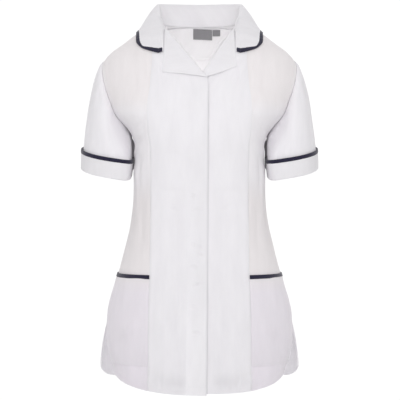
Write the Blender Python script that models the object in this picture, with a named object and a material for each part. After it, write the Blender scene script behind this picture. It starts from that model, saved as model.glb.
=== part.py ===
"""Women's healthcare tunic with a revere collar, navy binding, turn-back cuffs and side vents.

Metres, +Z up. The front faces -Y, and the wearer's left is at +X. The origin is at the
level of the high point of the shoulder, on the centre line, where the garment hangs.
The garment is open at neck, hem, cuffs and vents and keeps the form of a worn tunic.
"""

import math

import bpy
import numpy as np

# Cloth
THIN = 0.0010
CLOTH = 0.0012
DOUBLE = 0.0016
BINDING = 0.0018
SEAM_GAP = 0.0003
TRIM_RISE = 0.0005

# Overall design sizes
TIP_Z = -0.088
PIT_Z = -0.238
VENT_Z = -0.596
BIND_WIDTH = 0.0086
POCKET_TOP = -0.5096
POCKET_FOOT = -0.683
CUFF_HEIGHT = 0.0400
LAP = 0.0165
LAP_LIFT = 0.0020

# Body form, one row a level:
# z, half width front, half width back, depth front, depth back, squareness front, back
BODY = (
    (0.010, 0.0400, 0.0400, 0.0120, 0.0480, 2.2, 2.2),
    (-0.012, 0.0750, 0.0750, 0.0330, 0.0535, 2.2, 2.2),
    (-0.0205, 0.1000, 0.1000, 0.0440, 0.0575, 2.3, 2.2),
    (-0.038, 0.1300, 0.1300, 0.0610, 0.0655, 2.3, 2.3),
    (-0.056, 0.1528, 0.1528, 0.0750, 0.0735, 2.4, 2.3),
    (-0.074, 0.1768, 0.1768, 0.0870, 0.0805, 2.4, 2.4),
    (-0.088, 0.1885, 0.1885, 0.0955, 0.0855, 2.5, 2.4),
    (-0.105, 0.1975, 0.1975, 0.1040, 0.0910, 2.5, 2.4),
    (-0.125, 0.2005, 0.2005, 0.1125, 0.0965, 2.5, 2.5),
    (-0.150, 0.1960, 0.1960, 0.1215, 0.1015, 2.5, 2.5),
    (-0.170, 0.1870, 0.1870, 0.1275, 0.1040, 2.5, 2.5),
    (-0.200, 0.1690, 0.1690, 0.1335, 0.1045, 2.6, 2.5),
    (-0.222, 0.1465, 0.1465, 0.1345, 0.1020, 2.7, 2.6),
    (-0.238, 0.1345, 0.1345, 0.1335, 0.0990, 2.8, 2.6),
    (-0.260, 0.1285, 0.1285, 0.1300, 0.0940, 2.9, 2.6),
    (-0.285, 0.1285, 0.1285, 0.1235, 0.0880, 2.9, 2.6),
    (-0.310, 0.1305, 0.1305, 0.1175, 0.0820, 2.9, 2.6),
    (-0.340, 0.1308, 0.1308, 0.1135, 0.0775, 2.9, 2.6),
    (-0.370, 0.1320, 0.1320, 0.1125, 0.0785, 2.9, 2.6),
    (-0.410, 0.1365, 0.1365, 0.1150, 0.0870, 2.9, 2.6),
    (-0.460, 0.1480, 0.1480, 0.1215, 0.1030, 2.8, 2.6),
    (-0.520, 0.1635, 0.1635, 0.1290, 0.1195, 2.8, 2.5),
    (-0.596, 0.1818, 0.1818, 0.1355, 0.1320, 2.8, 2.5),
    (-0.634, 0.1835, 0.1905, 0.1380, 0.1365, 2.8, 2.5),
    (-0.654, 0.1812, 0.1940, 0.1395, 0.1388, 2.8, 2.5),
    (-0.683, 0.1740, 0.1970, 0.1420, 0.1418, 2.8, 2.5),
    (-0.705, 0.1690, 0.1978, 0.1435, 0.1440, 2.8, 2.5),
    (-0.745, 0.1620, 0.1990, 0.1455, 0.1480, 2.8, 2.5),
)

# Soft fullness over each bust: x, z, spread, height
BUST = (0.078, -0.205, 0.042, 0.004)

# Neck seam by the turn round the neck: degrees from the side, z
NECK = ((-90.0, -0.0146), (-45.0, -0.0138), (0.0, -0.0120), (33.5, -0.0280))

# Princess seam from shoulder to hem: z, x
PRINCESS = (
    (-0.0300, 0.0978),
    (-0.0600, 0.0930),
    (-0.0900, 0.0917),
    (-0.1400, 0.0945),
    (-0.1900, 0.0998),
    (-0.2300, 0.1003),
    (-0.2650, 0.0958),
    (-0.3500, 0.0950),
    (-0.5000, 0.0958),
    (-0.6000, 0.0985),
    (-0.7400, 0.0990),
)

# Front hem: distance from the centre line, z
FRONT_HEM = (
    (-0.020, -0.7347),
    (0.000, -0.7345),
    (0.050, -0.7333),
    (0.0935, -0.7297),
    (0.131, -0.7228),
    (0.150, -0.7170),
    (0.1640, -0.7090),
)

# Back hem: degrees round from the side, z
BACK_HEM = ((0.0, -0.6970), (7.0, -0.7080), (25.0, -0.7270), (50.0, -0.7330), (90.0, -0.7350))

# Vent edge of the front: z, degrees forward of the side
VENT_EDGE = (
    (-0.596, 0.0),
    (-0.614, 1.2),
    (-0.634, 4.0),
    (-0.654, 7.0),
    (-0.683, 12.0),
    (-0.7090, 16.5),
)

# Front edge: z, distance past the centre line
FRONT_EDGE = ((-0.133, 0.0165), (-0.300, 0.0160), (-0.740, 0.0133))

# Neck corner where lapel, collar and front meet: x, z
NECK_CORNER = (0.0678, -0.0280)

# Lapels: where the roll line bends x, z; its end x, z; lower outer corner x, z; sag below.
# The left one bends where it meets the right front, and follows that front's edge.
LAPEL = {
    "right": ((-0.0060, -0.1222), (-0.0140, -0.1325), (0.0714, -0.1206), 0.0000),
    "left": ((0.0076, -0.1212), (0.0152, -0.1304), (0.0721, -0.1094), 0.0015),
}
LAPEL_GAP = 0.0006
LAPEL_RISE = 0.0007
LAPEL_CROWN = 0.0012
LAPEL_STEPS = 8
LAPEL_ROWS = 7
BEND_SHARE = 0.9
NOTCH = (0.0702, -0.0797)

# Where the princess seam meets the shoulder, and the rows' level marks on two edges
SPLIT_Z = -0.0205
PRINCESS_MARK = -0.222
EDGE_MARK = -0.215

# Roll line of each front: level where the edge turns towards it, its lower end x, z
ROLL_START = -0.158
ROLL_END = {"right": (-0.0145, -0.1328), "left": (0.0000, -0.1330)}

# The fronts' hem corners hang lower or higher, fading out over a width
HEM_DROP = {"right": -0.0016, "left": 0.0020}
HEM_FADE = 0.115

# Overlap of the fronts: where it ends across and upwards, and how fast
LAP_ACROSS = (0.062, 0.040)
LAP_UP = (-0.085, 0.033)

# How fast the hem's and the shoulder's shape fade inside a panel
HEM_POWER = 3.0
SHOULDER_POWER = 1.6

# Pocket: clearance on the panel, ease of its mouth, level where the ease starts, its run
POCKET_CLEAR = 0.0004
POCKET_EASE = 0.0008
POCKET_EASE_Z = -0.640
POCKET_EASE_RUN = 0.12

# Armhole: widest turn forward and back in degrees, lean of the widest place
ARM_FRONT = 18.2
ARM_BACK = 19.0
ARM_LEAN = 0.08

# Sleeve opening: centre, half width vector, half depth vector
SLEEVE_CENTRE = (0.1865, 0.0040, -0.3110)
SLEEVE_SIDE = (0.0490, 0.0, 0.0090)
SLEEVE_FRONT = (0.0, -0.0720, -0.0110)
SLEEVE_SQUARE = 2.2
SLEEVE_DRAFT = (-0.07, 0.0, 0.9975)
SLEEVE_ROOT_GAP = 0.0005

# Cuff rows from its top: height above the sleeve's end, distance out from the sleeve
CUFF_ROWS = (
    (CUFF_HEIGHT, 0.0036),
    (CUFF_HEIGHT - BIND_WIDTH, 0.0034),
    (0.0196, 0.0029),
    (0.0098, 0.0024),
    (0.0, 0.0020),
)
CUFF_DROP = 0.0010

# How the sleeve leaves the armhole: degrees round from the shoulder,
# direction x, y, z, reach from the armhole, reach from the opening
SLEEVE_RUN = (
    (0.0, 0.80, 0.00, -0.60, 0.028, 0.100),
    (45.0, 0.70, -0.50, -0.50, 0.026, 0.090),
    (90.0, 0.35, -0.75, -0.55, 0.028, 0.070),
    (135.0, -0.08, -0.72, -0.68, 0.022, 0.045),
    (180.0, 0.02, 0.00, -1.00, 0.020, 0.030),
    (225.0, 0.05, 0.70, -0.70, 0.022, 0.045),
    (270.0, 0.35, 0.75, -0.55, 0.028, 0.070),
    (315.0, 0.70, 0.50, -0.50, 0.026, 0.090),
    (360.0, 0.80, 0.00, -0.60, 0.028, 0.100),
)

# Collar stations from the centre back to the front end:
# turn of the neck seam, share of the gorge, roll x, y, z, edge x, y, z, roll reach, clearance
COLLAR = (
    (-90.0, 0.00, 0.0000, 0.0640, 0.0340, 0.0000, 0.0820, -0.0360, 0.0065, 0.0),
    (-60.0, 0.00, 0.0340, 0.0605, 0.0340, 0.0430, 0.0790, -0.0370, 0.0065, 0.0),
    (-34.6, 0.00, 0.0660, 0.0465, 0.0325, 0.0820, 0.0690, -0.0380, 0.0075, 0.0),
    (-14.4, 0.00, 0.0845, 0.0240, 0.0290, 0.1080, 0.0500, -0.0385, 0.0110, 0.0),
    (0.0, 0.00, 0.0850, 0.0040, 0.0205, 0.1230, 0.0220, -0.0365, 0.0120, 0.0),
    (15.1, 0.00, 0.0815, -0.0140, 0.0045, 0.1256, -0.0080, -0.0330, 0.0090, 0.0),
    (27.8, 0.00, 0.0738, -0.0320, -0.0140, 0.1254, -0.0330, -0.0400, 0.0050, 0.3),
    (32.6, 0.02, 0.0718, -0.0450, -0.0275, 0.1240, -0.0440, -0.0500, 0.0035, 0.8),
    (32.6, 0.50, 0.0760, -0.0700, -0.0530, 0.1215, -0.0540, -0.0615, 0.0030, 1.0),
    (32.6, 1.00, 0.0785, -0.0905, -0.0788, 0.1115, -0.0640, -0.0722, 0.0030, 1.0),
)
COLLAR_TURN = COLLAR[-1][0]
GORGE_STATION = 6.0
FRONT_STATION = 8.0
GORGE_GAP = 0.0014
COLLAR_CLEAR = 0.0026
COLLAR_SAG = 0.0022
STAND_RISE = 0.0005

# Back neck facing, lower edge: x, z
FACING_TOP = -0.0150
FACING_SLOPE = 0.0035
FACING_CLEAR = 0.0014
FACING_COLUMNS = 15
FACING_ROWS = 6
FACING = (
    (0.000, -0.0770),
    (0.0165, -0.0765),
    (0.026, -0.0690),
    (0.034, -0.0560),
    (0.045, -0.0420),
    (0.058, -0.0300),
    (0.066, -0.0235),
)

# Blank neck label and size tab: left x, right x, lower edge z, slope of the lower edge
LABELS = {
    "label": (-0.0130, 0.0262, -0.0370, 0.0018),
    "size_tab": (0.0270, 0.0430, -0.0290, 0.0),
}
LABEL_TOP = -0.0170
LABEL_CLEAR = 0.0006
LABEL_COLUMNS = 6
LABEL_ROWS = 4

# Grid counts: rows up the side by stretch, rows up the armhole, columns
SIDE_ROWS = (1, 3, 3, 1, 8)
ARM_ROWS = 12
FRONT_COLUMNS = 6
SIDE_COLUMNS = 6
SHOULDER_COLUMNS = 6
NECK_COLUMNS = 8
COLLAR_STEPS = 13
STAND_STEPS = 4
FALL_SHARES = (0.06, 0.16, 0.32, 0.52, 0.72)
SLEEVE_SHARES = (0.0, 0.05, 0.14, 0.26, 0.40, 0.55, 0.70, 0.85, 1.0)

# Colours
WHITE = (0.86, 0.86, 0.89, 1.0)
NAVY = (0.012, 0.010, 0.030, 1.0)
GREY = (0.20, 0.20, 0.21, 1.0)


# Reading tables smoothly


def slopes(x, y):
    """Slopes of a smooth curve through the rows that never overshoots them."""
    gap = np.diff(x)
    rise = np.diff(y, axis=0) / gap[:, None]
    out = np.zeros_like(y)
    out[0] = rise[0]
    out[-1] = rise[-1]
    for i in range(1, len(x) - 1):
        one = 2.0 * gap[i] + gap[i - 1]
        two = gap[i] + 2.0 * gap[i - 1]
        for c in range(y.shape[1]):
            before = rise[i - 1, c]
            after = rise[i, c]
            if before * after > 0.0:
                out[i, c] = (one + two) / (one / before + two / after)
    return out


class Table:
    """A table whose first column is the place to read it at."""

    def __init__(self, rows):
        data = np.array(sorted(rows), float)
        self.x = data[:, 0]
        self.y = data[:, 1:]
        self.m = slopes(self.x, self.y)

    def __call__(self, at):
        at = np.clip(np.asarray(at, float), self.x[0], self.x[-1])
        i = np.clip(np.searchsorted(self.x, at, side="right") - 1, 0, len(self.x) - 2)
        width = self.x[i + 1] - self.x[i]
        t = ((at - self.x[i]) / width)[..., None]
        width = width[..., None]
        left = (1 + 2 * t) * (1 - t) ** 2 * self.y[i] + t * (1 - t) ** 2 * width * self.m[i]
        right = t * t * (3 - 2 * t) * self.y[i + 1] + t * t * (t - 1) * width * self.m[i + 1]
        return left + right


BODY_TABLE = Table(BODY)
NECK_TABLE = Table(NECK)
PRINCESS_TABLE = Table(PRINCESS)
HEM_TABLE = Table(FRONT_HEM)
BACK_HEM_TABLE = Table(BACK_HEM)
VENT_TABLE = Table(VENT_EDGE)
EDGE_TABLE = Table(FRONT_EDGE)
SLEEVE_TABLE = Table(SLEEVE_RUN)
COLLAR_TABLE = Table([(i,) + row for i, row in enumerate(COLLAR)])
FACING_TABLE = Table(FACING)


# The body form


def section(z, front):
    """Half width, depth and squareness of the body at a level."""
    row = BODY_TABLE(z)
    if front:
        return row[..., 0], row[..., 2], row[..., 4]
    return row[..., 1], row[..., 3], row[..., 5]


def bust(x, z):
    """How far the bust stands out in front of the plain form."""
    across = (np.abs(x) - BUST[0]) / BUST[2]
    along = (z - BUST[1]) / BUST[2]
    return BUST[3] * np.exp(-0.5 * (across**2 + along**2))


def form(turn, z, front):
    """Point on the body form. Turn is in degrees from the side: 90 front, -90 back."""
    turn = np.radians(np.asarray(turn, float))
    z = np.asarray(z, float) + 0.0 * turn
    half, depth, square = section(z, front)
    c = np.cos(turn)
    s = np.sin(turn)
    reach = ((np.abs(c) / half) ** square + (np.abs(s) / depth) ** square) ** (-1.0 / square)
    x = reach * c
    y = -reach * s
    if front:
        y = y - bust(x, z) * np.clip(s * 2.0, 0.0, 1.0)
    return np.stack([x, y, z], -1)


def form_normal(turn, z, front):
    """Outward normal of the body form."""
    du = form(np.asarray(turn) + 0.4, z, front) - form(np.asarray(turn) - 0.4, z, front)
    dz = form(turn, np.asarray(z) + 0.0008, front) - form(turn, np.asarray(z) - 0.0008, front)
    n = np.cross(dz, du)
    p = form(turn, z, front)
    flip = np.sign(n[..., 0] * p[..., 0] + n[..., 1] * p[..., 1])
    n = n * flip[..., None]
    return n / np.linalg.norm(n, axis=-1, keepdims=True)


def turn_at(x, z, front):
    """Turn of the point of the form that is at x in the front view."""
    x = np.asarray(x, float)
    half, depth, square = section(z, front)
    share = np.clip(np.abs(x) / half, 0.0, 0.99999)
    y = depth * (1.0 - share**square) ** (1.0 / square)
    turn = np.degrees(np.arctan2(y, x))
    return turn if front else -turn


def spaced(turn, z, front, count):
    """Even spacing along a curve on the form."""
    p = form(turn, z, front)
    run = np.concatenate([[0.0], np.cumsum(np.linalg.norm(np.diff(p, axis=0), axis=1))])
    want = np.linspace(0.0, run[-1], count + 1)
    return np.interp(want, run, turn), np.interp(want, run, z)


def chained(stretches, front):
    """Several stretches one after another, each given as turn, z and a count."""
    turns = []
    levels = []
    for turn, z, count in stretches:
        t, v = spaced(turn, z, front, count)
        start = 1 if turns else 0
        turns.extend(t[start:])
        levels.extend(v[start:])
    return np.array(turns), np.array(levels)


def levels_between(low, high):
    return np.linspace(low, high, 60)


# Edges of the panels


def arm_curve(angle, front):
    """Turn and z of the armhole: angle 0 at the shoulder, 180 at the underarm."""
    a = np.radians(np.asarray(angle, float))
    widest = ARM_FRONT if front else -ARM_BACK
    middle = 0.5 * (TIP_Z + PIT_Z)
    tall = 0.5 * (TIP_Z - PIT_Z)
    turn = widest * np.abs(np.sin(a)) * (1.0 - ARM_LEAN * np.cos(a))
    return turn, middle + tall * np.cos(a)


def side_levels(foot):
    return (foot, POCKET_FOOT, VENT_Z, POCKET_TOP - BIND_WIDTH, POCKET_TOP, PIT_Z)


def side_edge(front):
    """Side seam or vent edge from the hem, then the armhole to the shoulder tip."""
    foot = VENT_EDGE[-1][0] if front else BACK_HEM[0][1]
    marks = side_levels(foot)
    stretches = []
    for low, high, count in zip(marks[:-1], marks[1:], SIDE_ROWS):
        z = levels_between(low, high)
        turn = VENT_TABLE(z)[..., 0] if front else np.zeros_like(z)
        stretches.append((turn, z, count))
    turn, z = arm_curve(np.linspace(180.0, 0.0, 90), front)
    stretches.append((turn, z, ARM_ROWS))
    return chained(stretches, front)


def princess_edge():
    marks = side_levels(float(HEM_TABLE(PRINCESS[-1][1])[0]))[:-1] + (PRINCESS_MARK,)
    stretches = []
    for low, high, count in zip(marks[:-1], marks[1:], SIDE_ROWS):
        z = levels_between(low, high)
        stretches.append((turn_at(PRINCESS_TABLE(z)[..., 0], z, True), z, count))
    top = PRINCESS[0][0]
    z = levels_between(PRINCESS_MARK, top)
    turn = turn_at(PRINCESS_TABLE(z)[..., 0], z, True)
    climb = np.linspace(0.0, 1.0, 30)[1:]
    top_z = top + (SPLIT_Z - top) * np.sin(climb * math.pi / 2)
    top_turn = turn[-1] * np.cos(climb * math.pi / 2)
    stretches.append((np.append(turn, top_turn), np.append(z, top_z), ARM_ROWS))
    return chained(stretches, True)


def neck_stretch():
    """Neck seam of the front, from the neck corner to the high point of the shoulder."""
    start = float(turn_at(NECK_CORNER[0], NECK_CORNER[1], True))
    turn = np.linspace(start, 0.0, 40)
    share = turn / start
    high = NECK[2][1]
    return turn, high + (NECK_CORNER[1] - high) * share**1.5, 1


def front_edge(side):
    """Front edge from the hem, then the roll line and the neck seam."""
    low_marks = side_levels(hem_level(-LAP, side))[:-1] + (EDGE_MARK,)
    stretches = []
    for low, high, count in zip(low_marks[:-1], low_marks[1:], SIDE_ROWS):
        z = levels_between(low, high)
        stretches.append((turn_at(-EDGE_TABLE(z)[..., 0], z, True), z, count))
    end = ROLL_END[side]
    z = levels_between(EDGE_MARK, ROLL_START)
    stretches.append((turn_at(-EDGE_TABLE(z)[..., 0], z, True), z, 3))
    z = levels_between(ROLL_START, end[1])
    x = np.linspace(-EDGE_TABLE(ROLL_START)[0], end[0], len(z))
    stretches.append((turn_at(x, z, True), z, 2))
    z = levels_between(end[1], NECK_CORNER[1])
    x = np.linspace(end[0], NECK_CORNER[0], len(z))
    stretches.append((turn_at(x, z, True), z, 6))
    stretches.append(neck_stretch())
    return chained(stretches, True)


def hem_level(x, side):
    """Hem of the fronts. The right front's corner hangs a little lower."""
    fade = np.clip(1.0 - (np.asarray(x, float) + LAP) / HEM_FADE, 0.0, 1.0)
    return HEM_TABLE(x)[..., 0] + HEM_DROP[side] * fade


def front_hem(start, end, count, side):
    x = np.linspace(start, end, 80)
    z = hem_level(x, side)
    return spaced(turn_at(x, z, True), z, True, count)


def shoulder(start, end, count):
    """Shoulder seam along the ridge of the form."""
    z = levels_between(start, end)
    return spaced(0.0 * z, z, True, count)


# Panels


def shares(points):
    run = np.cumsum(np.linalg.norm(np.diff(points, axis=0), axis=1))
    return np.concatenate([[0.0], run / run[-1]])


def fill(inner, outer, low, high, front):
    """Blend four edges into a grid of turns and levels: columns by rows.

    The hem's shape fades out upwards, and the shoulder's shape starts above the bust.
    """
    s = 0.5 * (shares(form(*low, front)) + shares(form(*high, front)))[:, None]
    t = 0.5 * (shares(form(*inner, front)) + shares(form(*outer, front)))[None, :]
    start = t[0, sum(SIDE_ROWS)]
    upper = np.clip((t - start) / (1.0 - start), 0.0, 1.0) ** SHOULDER_POWER
    lower = (1.0 - t) ** HEM_POWER
    out = []
    for k in (0, 1):
        a = inner[k][None, :]
        b = outer[k][None, :]
        c = low[k][:, None] - (1 - s) * a[:, :1] - s * b[:, :1]
        d = high[k][:, None] - (1 - s) * a[:, -1:] - s * b[:, -1:]
        out.append((1 - s) * a + s * b + lower * c + upper * d)
    return out[0], out[1]


def lap_lift(x, z, side):
    """The right front lies over the left one along the front edge."""
    if side != "right":
        return 0.0 * x
    near = np.clip((LAP_ACROSS[0] - x) / LAP_ACROSS[1], 0.0, 1.0)
    below = np.clip((LAP_UP[0] - z) / LAP_UP[1], 0.0, 1.0)
    near = near * near * (3 - 2 * near)
    below = below * below * (3 - 2 * below)
    return LAP_LIFT * near * below


def on_form(turn, z, front, lift):
    """Points of a grid moved out along the form's normals, and those normals."""
    n = form_normal(turn, z, front)
    return form(turn, z, front) + n * np.asarray(lift)[..., None], n


def centre_front(side):
    edge = front_edge(side)
    seam = princess_edge()
    low = front_hem(-FRONT_EDGE[-1][1], PRINCESS[-1][1], FRONT_COLUMNS, side)
    low = (np.append(edge[0][0], low[0][1:]), np.append(edge[1][0], low[1][1:]))
    low[0][-1] = seam[0][0]
    low[1][-1] = seam[1][0]
    high = shoulder(NECK[2][1], SPLIT_Z, FRONT_COLUMNS)
    turn, z = fill(edge, seam, low, high, True)
    x = form(turn, z, True)[..., 0]
    return on_form(turn, z, True, lap_lift(x, z, side))


def side_front():
    seam = princess_edge()
    side = side_edge(True)
    low = front_hem(PRINCESS[-1][1], FRONT_HEM[-1][0], SIDE_COLUMNS, "left")
    low[0][0] = seam[0][0]
    low[1][0] = seam[1][0]
    low[0][-1] = side[0][0]
    low[1][-1] = side[1][0]
    high = shoulder(SPLIT_Z, TIP_Z, SIDE_COLUMNS)
    return fill(seam, side, low, high, True)


def back_panel():
    right = side_edge(False)
    left = (-180.0 - right[0], right[1])
    tip = shoulder(TIP_Z, NECK[2][1], SHOULDER_COLUMNS)
    neck_turn = np.linspace(0.0, -180.0, 120)
    fold = np.minimum(-neck_turn, 180.0 + neck_turn)
    neck = spaced(neck_turn, NECK_TABLE(-fold)[..., 0], False, NECK_COLUMNS)
    high_turn = np.concatenate([tip[0], neck[0][1:], -180.0 - tip[0][::-1][1:]])
    high_z = np.concatenate([tip[1], neck[1][1:], tip[1][::-1][1:]])
    turn = np.linspace(0.0, -180.0, 200)
    fold = np.minimum(-turn, 180.0 + turn)
    low = spaced(turn, BACK_HEM_TABLE(fold)[..., 0], False, len(high_turn) - 1)
    return fill(right, left, low, (high_turn, high_z), False)


# Closed walls from sheets of points


def grid_quads(columns, rows, keep=None):
    """Quads of a grid, optionally only those for which keep(i, j) holds."""
    quads = []
    for i in range(columns - 1):
        for j in range(rows - 1):
            if keep is None or keep(i, j):
                a = i * rows + j
                b = (i + 1) * rows + j
                quads.append((a, b, b + 1, a + 1))
    return quads


def ring_quads(columns, rows):
    """Quads of a tube whose last column meets the first."""
    quads = []
    for i in range(columns):
        for j in range(rows - 1):
            a = i * rows + j
            b = ((i + 1) % columns) * rows + j
            quads.append((a, b, b + 1, a + 1))
    return quads


def face_normals(points, quads):
    """Vertex normals of a sheet, from the faces round each vertex."""
    out = np.zeros_like(points)
    for a, b, c, d in quads:
        n = np.cross(points[c] - points[a], points[d] - points[b])
        for v in (a, b, c, d):
            out[v] += n
    size = np.linalg.norm(out, axis=1, keepdims=True)
    return out / np.maximum(size, 1e-12)


def rim(quads):
    """Edges used by one quad only, in that quad's order."""
    seen = {}
    for q in quads:
        for a, b in zip(q, q[1:] + q[:1]):
            seen[(a, b)] = True
    return [e for e in seen if (e[1], e[0]) not in seen]


def draw_in(points, quads, normals, amount):
    """Move the rim of a sheet inwards, so that it keeps clear of its neighbour."""
    inward = {}
    for a, b in rim(quads):
        along = points[b] - points[a]
        for v in (a, b):
            side = np.cross(normals[v], along)
            side = side / max(np.linalg.norm(side), 1e-12)
            inward.setdefault(v, []).append(side)
    out = points.copy()
    for v, sides in inward.items():
        mean = np.sum(sides, axis=0)
        mean = mean / max(np.linalg.norm(mean), 1e-12)
        cosine = max(0.5, float(np.mean([np.dot(mean, s) for s in sides])))
        out[v] += mean * amount / cosine
    return out


def wall(name, points, quads, colour, thick, normals=None, mirrored=False, gap=SEAM_GAP):
    """One closed wall whose visible face is the sheet."""
    points = np.asarray(points, float).reshape(-1, 3)
    used = sorted({v for q in quads for v in q})
    index = {v: k for k, v in enumerate(used)}
    quads = [tuple(index[v] for v in q) for q in quads]
    sheet_normals = face_normals(points[used], quads)
    points = points[used]
    if normals is None:
        normals = sheet_normals
    else:
        normals = np.asarray(normals, float).reshape(-1, 3)[used]
    points = draw_in(points, quads, normals, gap / 2)
    inner = points - normals * thick
    count = len(points)
    faces = []
    for a, b, c, d in quads:
        if np.linalg.norm(points[a] - points[c]) > np.linalg.norm(points[b] - points[d]) + 1e-6:
            a, b, c, d = b, c, d, a
        faces.append((a, b, c))
        faces.append((a, c, d))
        faces.append((c + count, b + count, a + count))
        faces.append((d + count, c + count, a + count))
    for a, b in rim(quads):
        faces.append((b, a, a + count))
        faces.append((b, a + count, b + count))
    corners = np.concatenate([points, inner])
    if mirrored:
        corners = corners * (-1.0, 1.0, 1.0)
        faces = [f[::-1] for f in faces]
    mesh = bpy.data.meshes.new(name)
    mesh.from_pydata([tuple(map(float, p)) for p in corners], [], faces)
    mesh.update()
    mesh.shade_smooth()
    mesh.set_sharp_from_angle(angle=math.radians(50))
    mesh.materials.append(material(name, colour))
    obj = bpy.data.objects.new(name, mesh)
    bpy.context.scene.collection.objects.link(obj)
    return obj


def material(name, colour):
    mat = bpy.data.materials.new(name + "_cloth")
    mat.use_nodes = True
    shader = mat.node_tree.nodes["Principled BSDF"]
    shader.inputs["Base Color"].default_value = colour
    shader.inputs["Roughness"].default_value = 0.85
    shader.inputs["Metallic"].default_value = 0.0
    return mat


# Making the body


def make_fronts():
    for side in ("right", "left"):
        points, normals = centre_front(side)
        quads = grid_quads(points.shape[0], points.shape[1])
        wall(side + "_front", points, quads, WHITE, CLOTH, normals, side == "right")
    turn, z = side_front()
    points, normals = on_form(turn, z, True, 0.0 * z)
    quads = grid_quads(*z.shape)
    foot = SIDE_ROWS[0]
    bound = sum(SIDE_ROWS[:3])
    for side in ("right", "left"):
        mirrored = side == "right"
        wall(side + "_side_front", points, quads, WHITE, CLOTH, normals, mirrored)
    ease = np.clip((z - POCKET_EASE_Z) / POCKET_EASE_RUN, 0.0, 1.0)
    ease[0, :] = 0.0
    ease[-1, :] = 0.0
    height = POCKET_CLEAR + CLOTH + POCKET_EASE * ease
    low, normals = on_form(turn, z, True, height)
    high, normals = on_form(turn, z, True, height + BINDING - CLOTH)
    bag = grid_quads(*z.shape, keep=lambda i, j: foot <= j < bound)
    band = grid_quads(*z.shape, keep=lambda i, j: j == bound)
    for side in ("right", "left"):
        mirrored = side == "right"
        wall(side + "_pocket", low, bag, WHITE, CLOTH, normals, mirrored)
        wall(side + "_pocket_trim", high, band, NAVY, BINDING, normals, mirrored)


def make_back():
    turn, z = back_panel()
    points, normals = on_form(turn, z, False, 0.0 * z)
    wall("back", points, grid_quads(*z.shape), WHITE, CLOTH, normals)


def make_facing():
    """Facing, label and size tab inside the back neck."""
    half = FACING[-1][0]
    x = np.linspace(half, -half, FACING_COLUMNS)
    top = FACING_TOP - FACING_SLOPE * (np.abs(x) / half) ** 4
    low = FACING_TABLE(np.abs(x))[..., 0]
    t = np.linspace(1.0, 0.0, FACING_ROWS)[None, :]
    z = low[:, None] * t + top[:, None] * (1.0 - t)
    depth = CLOTH + FACING_CLEAR
    inner_sheet("neck_facing", x, z, depth, WHITE)
    depth = depth + THIN + LABEL_CLEAR
    for name, (left, right, foot, tilt) in LABELS.items():
        x = np.linspace(right, left, LABEL_COLUMNS)
        z = np.linspace(foot, LABEL_TOP, LABEL_ROWS)[None, :]
        z = z + tilt * (x[:, None] - left) / (right - left)
        inner_sheet(name, x, z, depth, GREY)


def inner_sheet(name, x, z, depth, colour):
    """Thin wall that lies inside the back at a given depth under its outer face."""
    turn = turn_at(x[:, None] + 0.0 * z, z, False)
    points, normals = on_form(turn, z, False, 0.0 * z - depth)
    wall(name, points, grid_quads(*z.shape), colour, THIN, normals)


def make_lapels():
    for side in ("right", "left"):
        bend, end, corner, sag = LAPEL[side]
        k = np.append(np.linspace(0.03, BEND_SHARE, LAPEL_STEPS - 1), 1.0)[:, None]
        t = np.linspace(0.0, 1.0, LAPEL_ROWS)[None, :]
        marks = (0.0, BEND_SHARE, 1.0)
        roll_x = np.interp(k, marks, (NECK_CORNER[0], bend[0], end[0]))
        roll_z = np.interp(k, marks, (NECK_CORNER[1], bend[1], end[1]))
        out_x = NECK_CORNER[0] + LAPEL_GAP + (corner[0] - NECK_CORNER[0] - LAPEL_GAP) * k**2.5
        out_z = NECK_CORNER[1] + (corner[1] - NECK_CORNER[1]) * k
        x = roll_x * (1 - t) + out_x * t
        z = roll_z * (1 - t) + out_z * t - sag * 4 * t * (1 - t) * k**3
        rise = LAPEL_RISE + LAPEL_CROWN * np.sin(math.pi * np.sqrt(t)) + 0.0 * k
        lift = lap_lift(x, z, side) + rise + DOUBLE
        points, normals = on_form(turn_at(x, z, True), z, True, lift)
        quads = grid_quads(LAPEL_STEPS, LAPEL_ROWS)
        wall(side + "_lapel", points, quads, WHITE, DOUBLE, normals, side == "right")


# Collar


def inside(p):
    """Level of the form's field: below 1 inside the body, above 1 outside."""
    x, y, z = p[..., 0], p[..., 1], p[..., 2]
    row = BODY_TABLE(z)
    front = y < 0.0
    depth = np.where(front, row[..., 2], row[..., 3])
    half = row[..., 0]
    square = np.where(front, row[..., 4], row[..., 5])
    y = np.where(front, np.minimum(y + bust(x, z), 0.0), y)
    return ((np.abs(x) / half) ** square + (np.abs(y) / depth) ** square) ** (1.0 / square)


def push_out(points, clear):
    """Keep points at least a given distance outside the body form."""
    p = points.copy()
    step = 0.0004
    soft_run = 0.0012
    reach = 0.004
    for _ in range(6):
        grad = np.zeros_like(p)
        for k in range(3):
            d = np.zeros(3)
            d[k] = step
            grad[..., k] = (inside(p + d) - inside(p - d)) / (2 * step)
        size = np.linalg.norm(grad, axis=-1)
        away = (inside(p) - 1.0) / np.maximum(size, 1e-9)
        short = clear - away
        soft = soft_run * np.log1p(np.exp(np.clip(short / soft_run, -30, 30)))
        move = np.where(short > -reach, soft * 0.7, 0.0)
        move = np.where(short < 0.0, np.minimum(move, 0.0), move)
        p = p + grad / np.maximum(size, 1e-9)[..., None] * move[..., None]
    return p


def bezier(a, b, c, d, t):
    return a * (1 - t) ** 3 + 3 * b * t * (1 - t) ** 2 + 3 * c * t * t * (1 - t) + d * t**3


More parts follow.
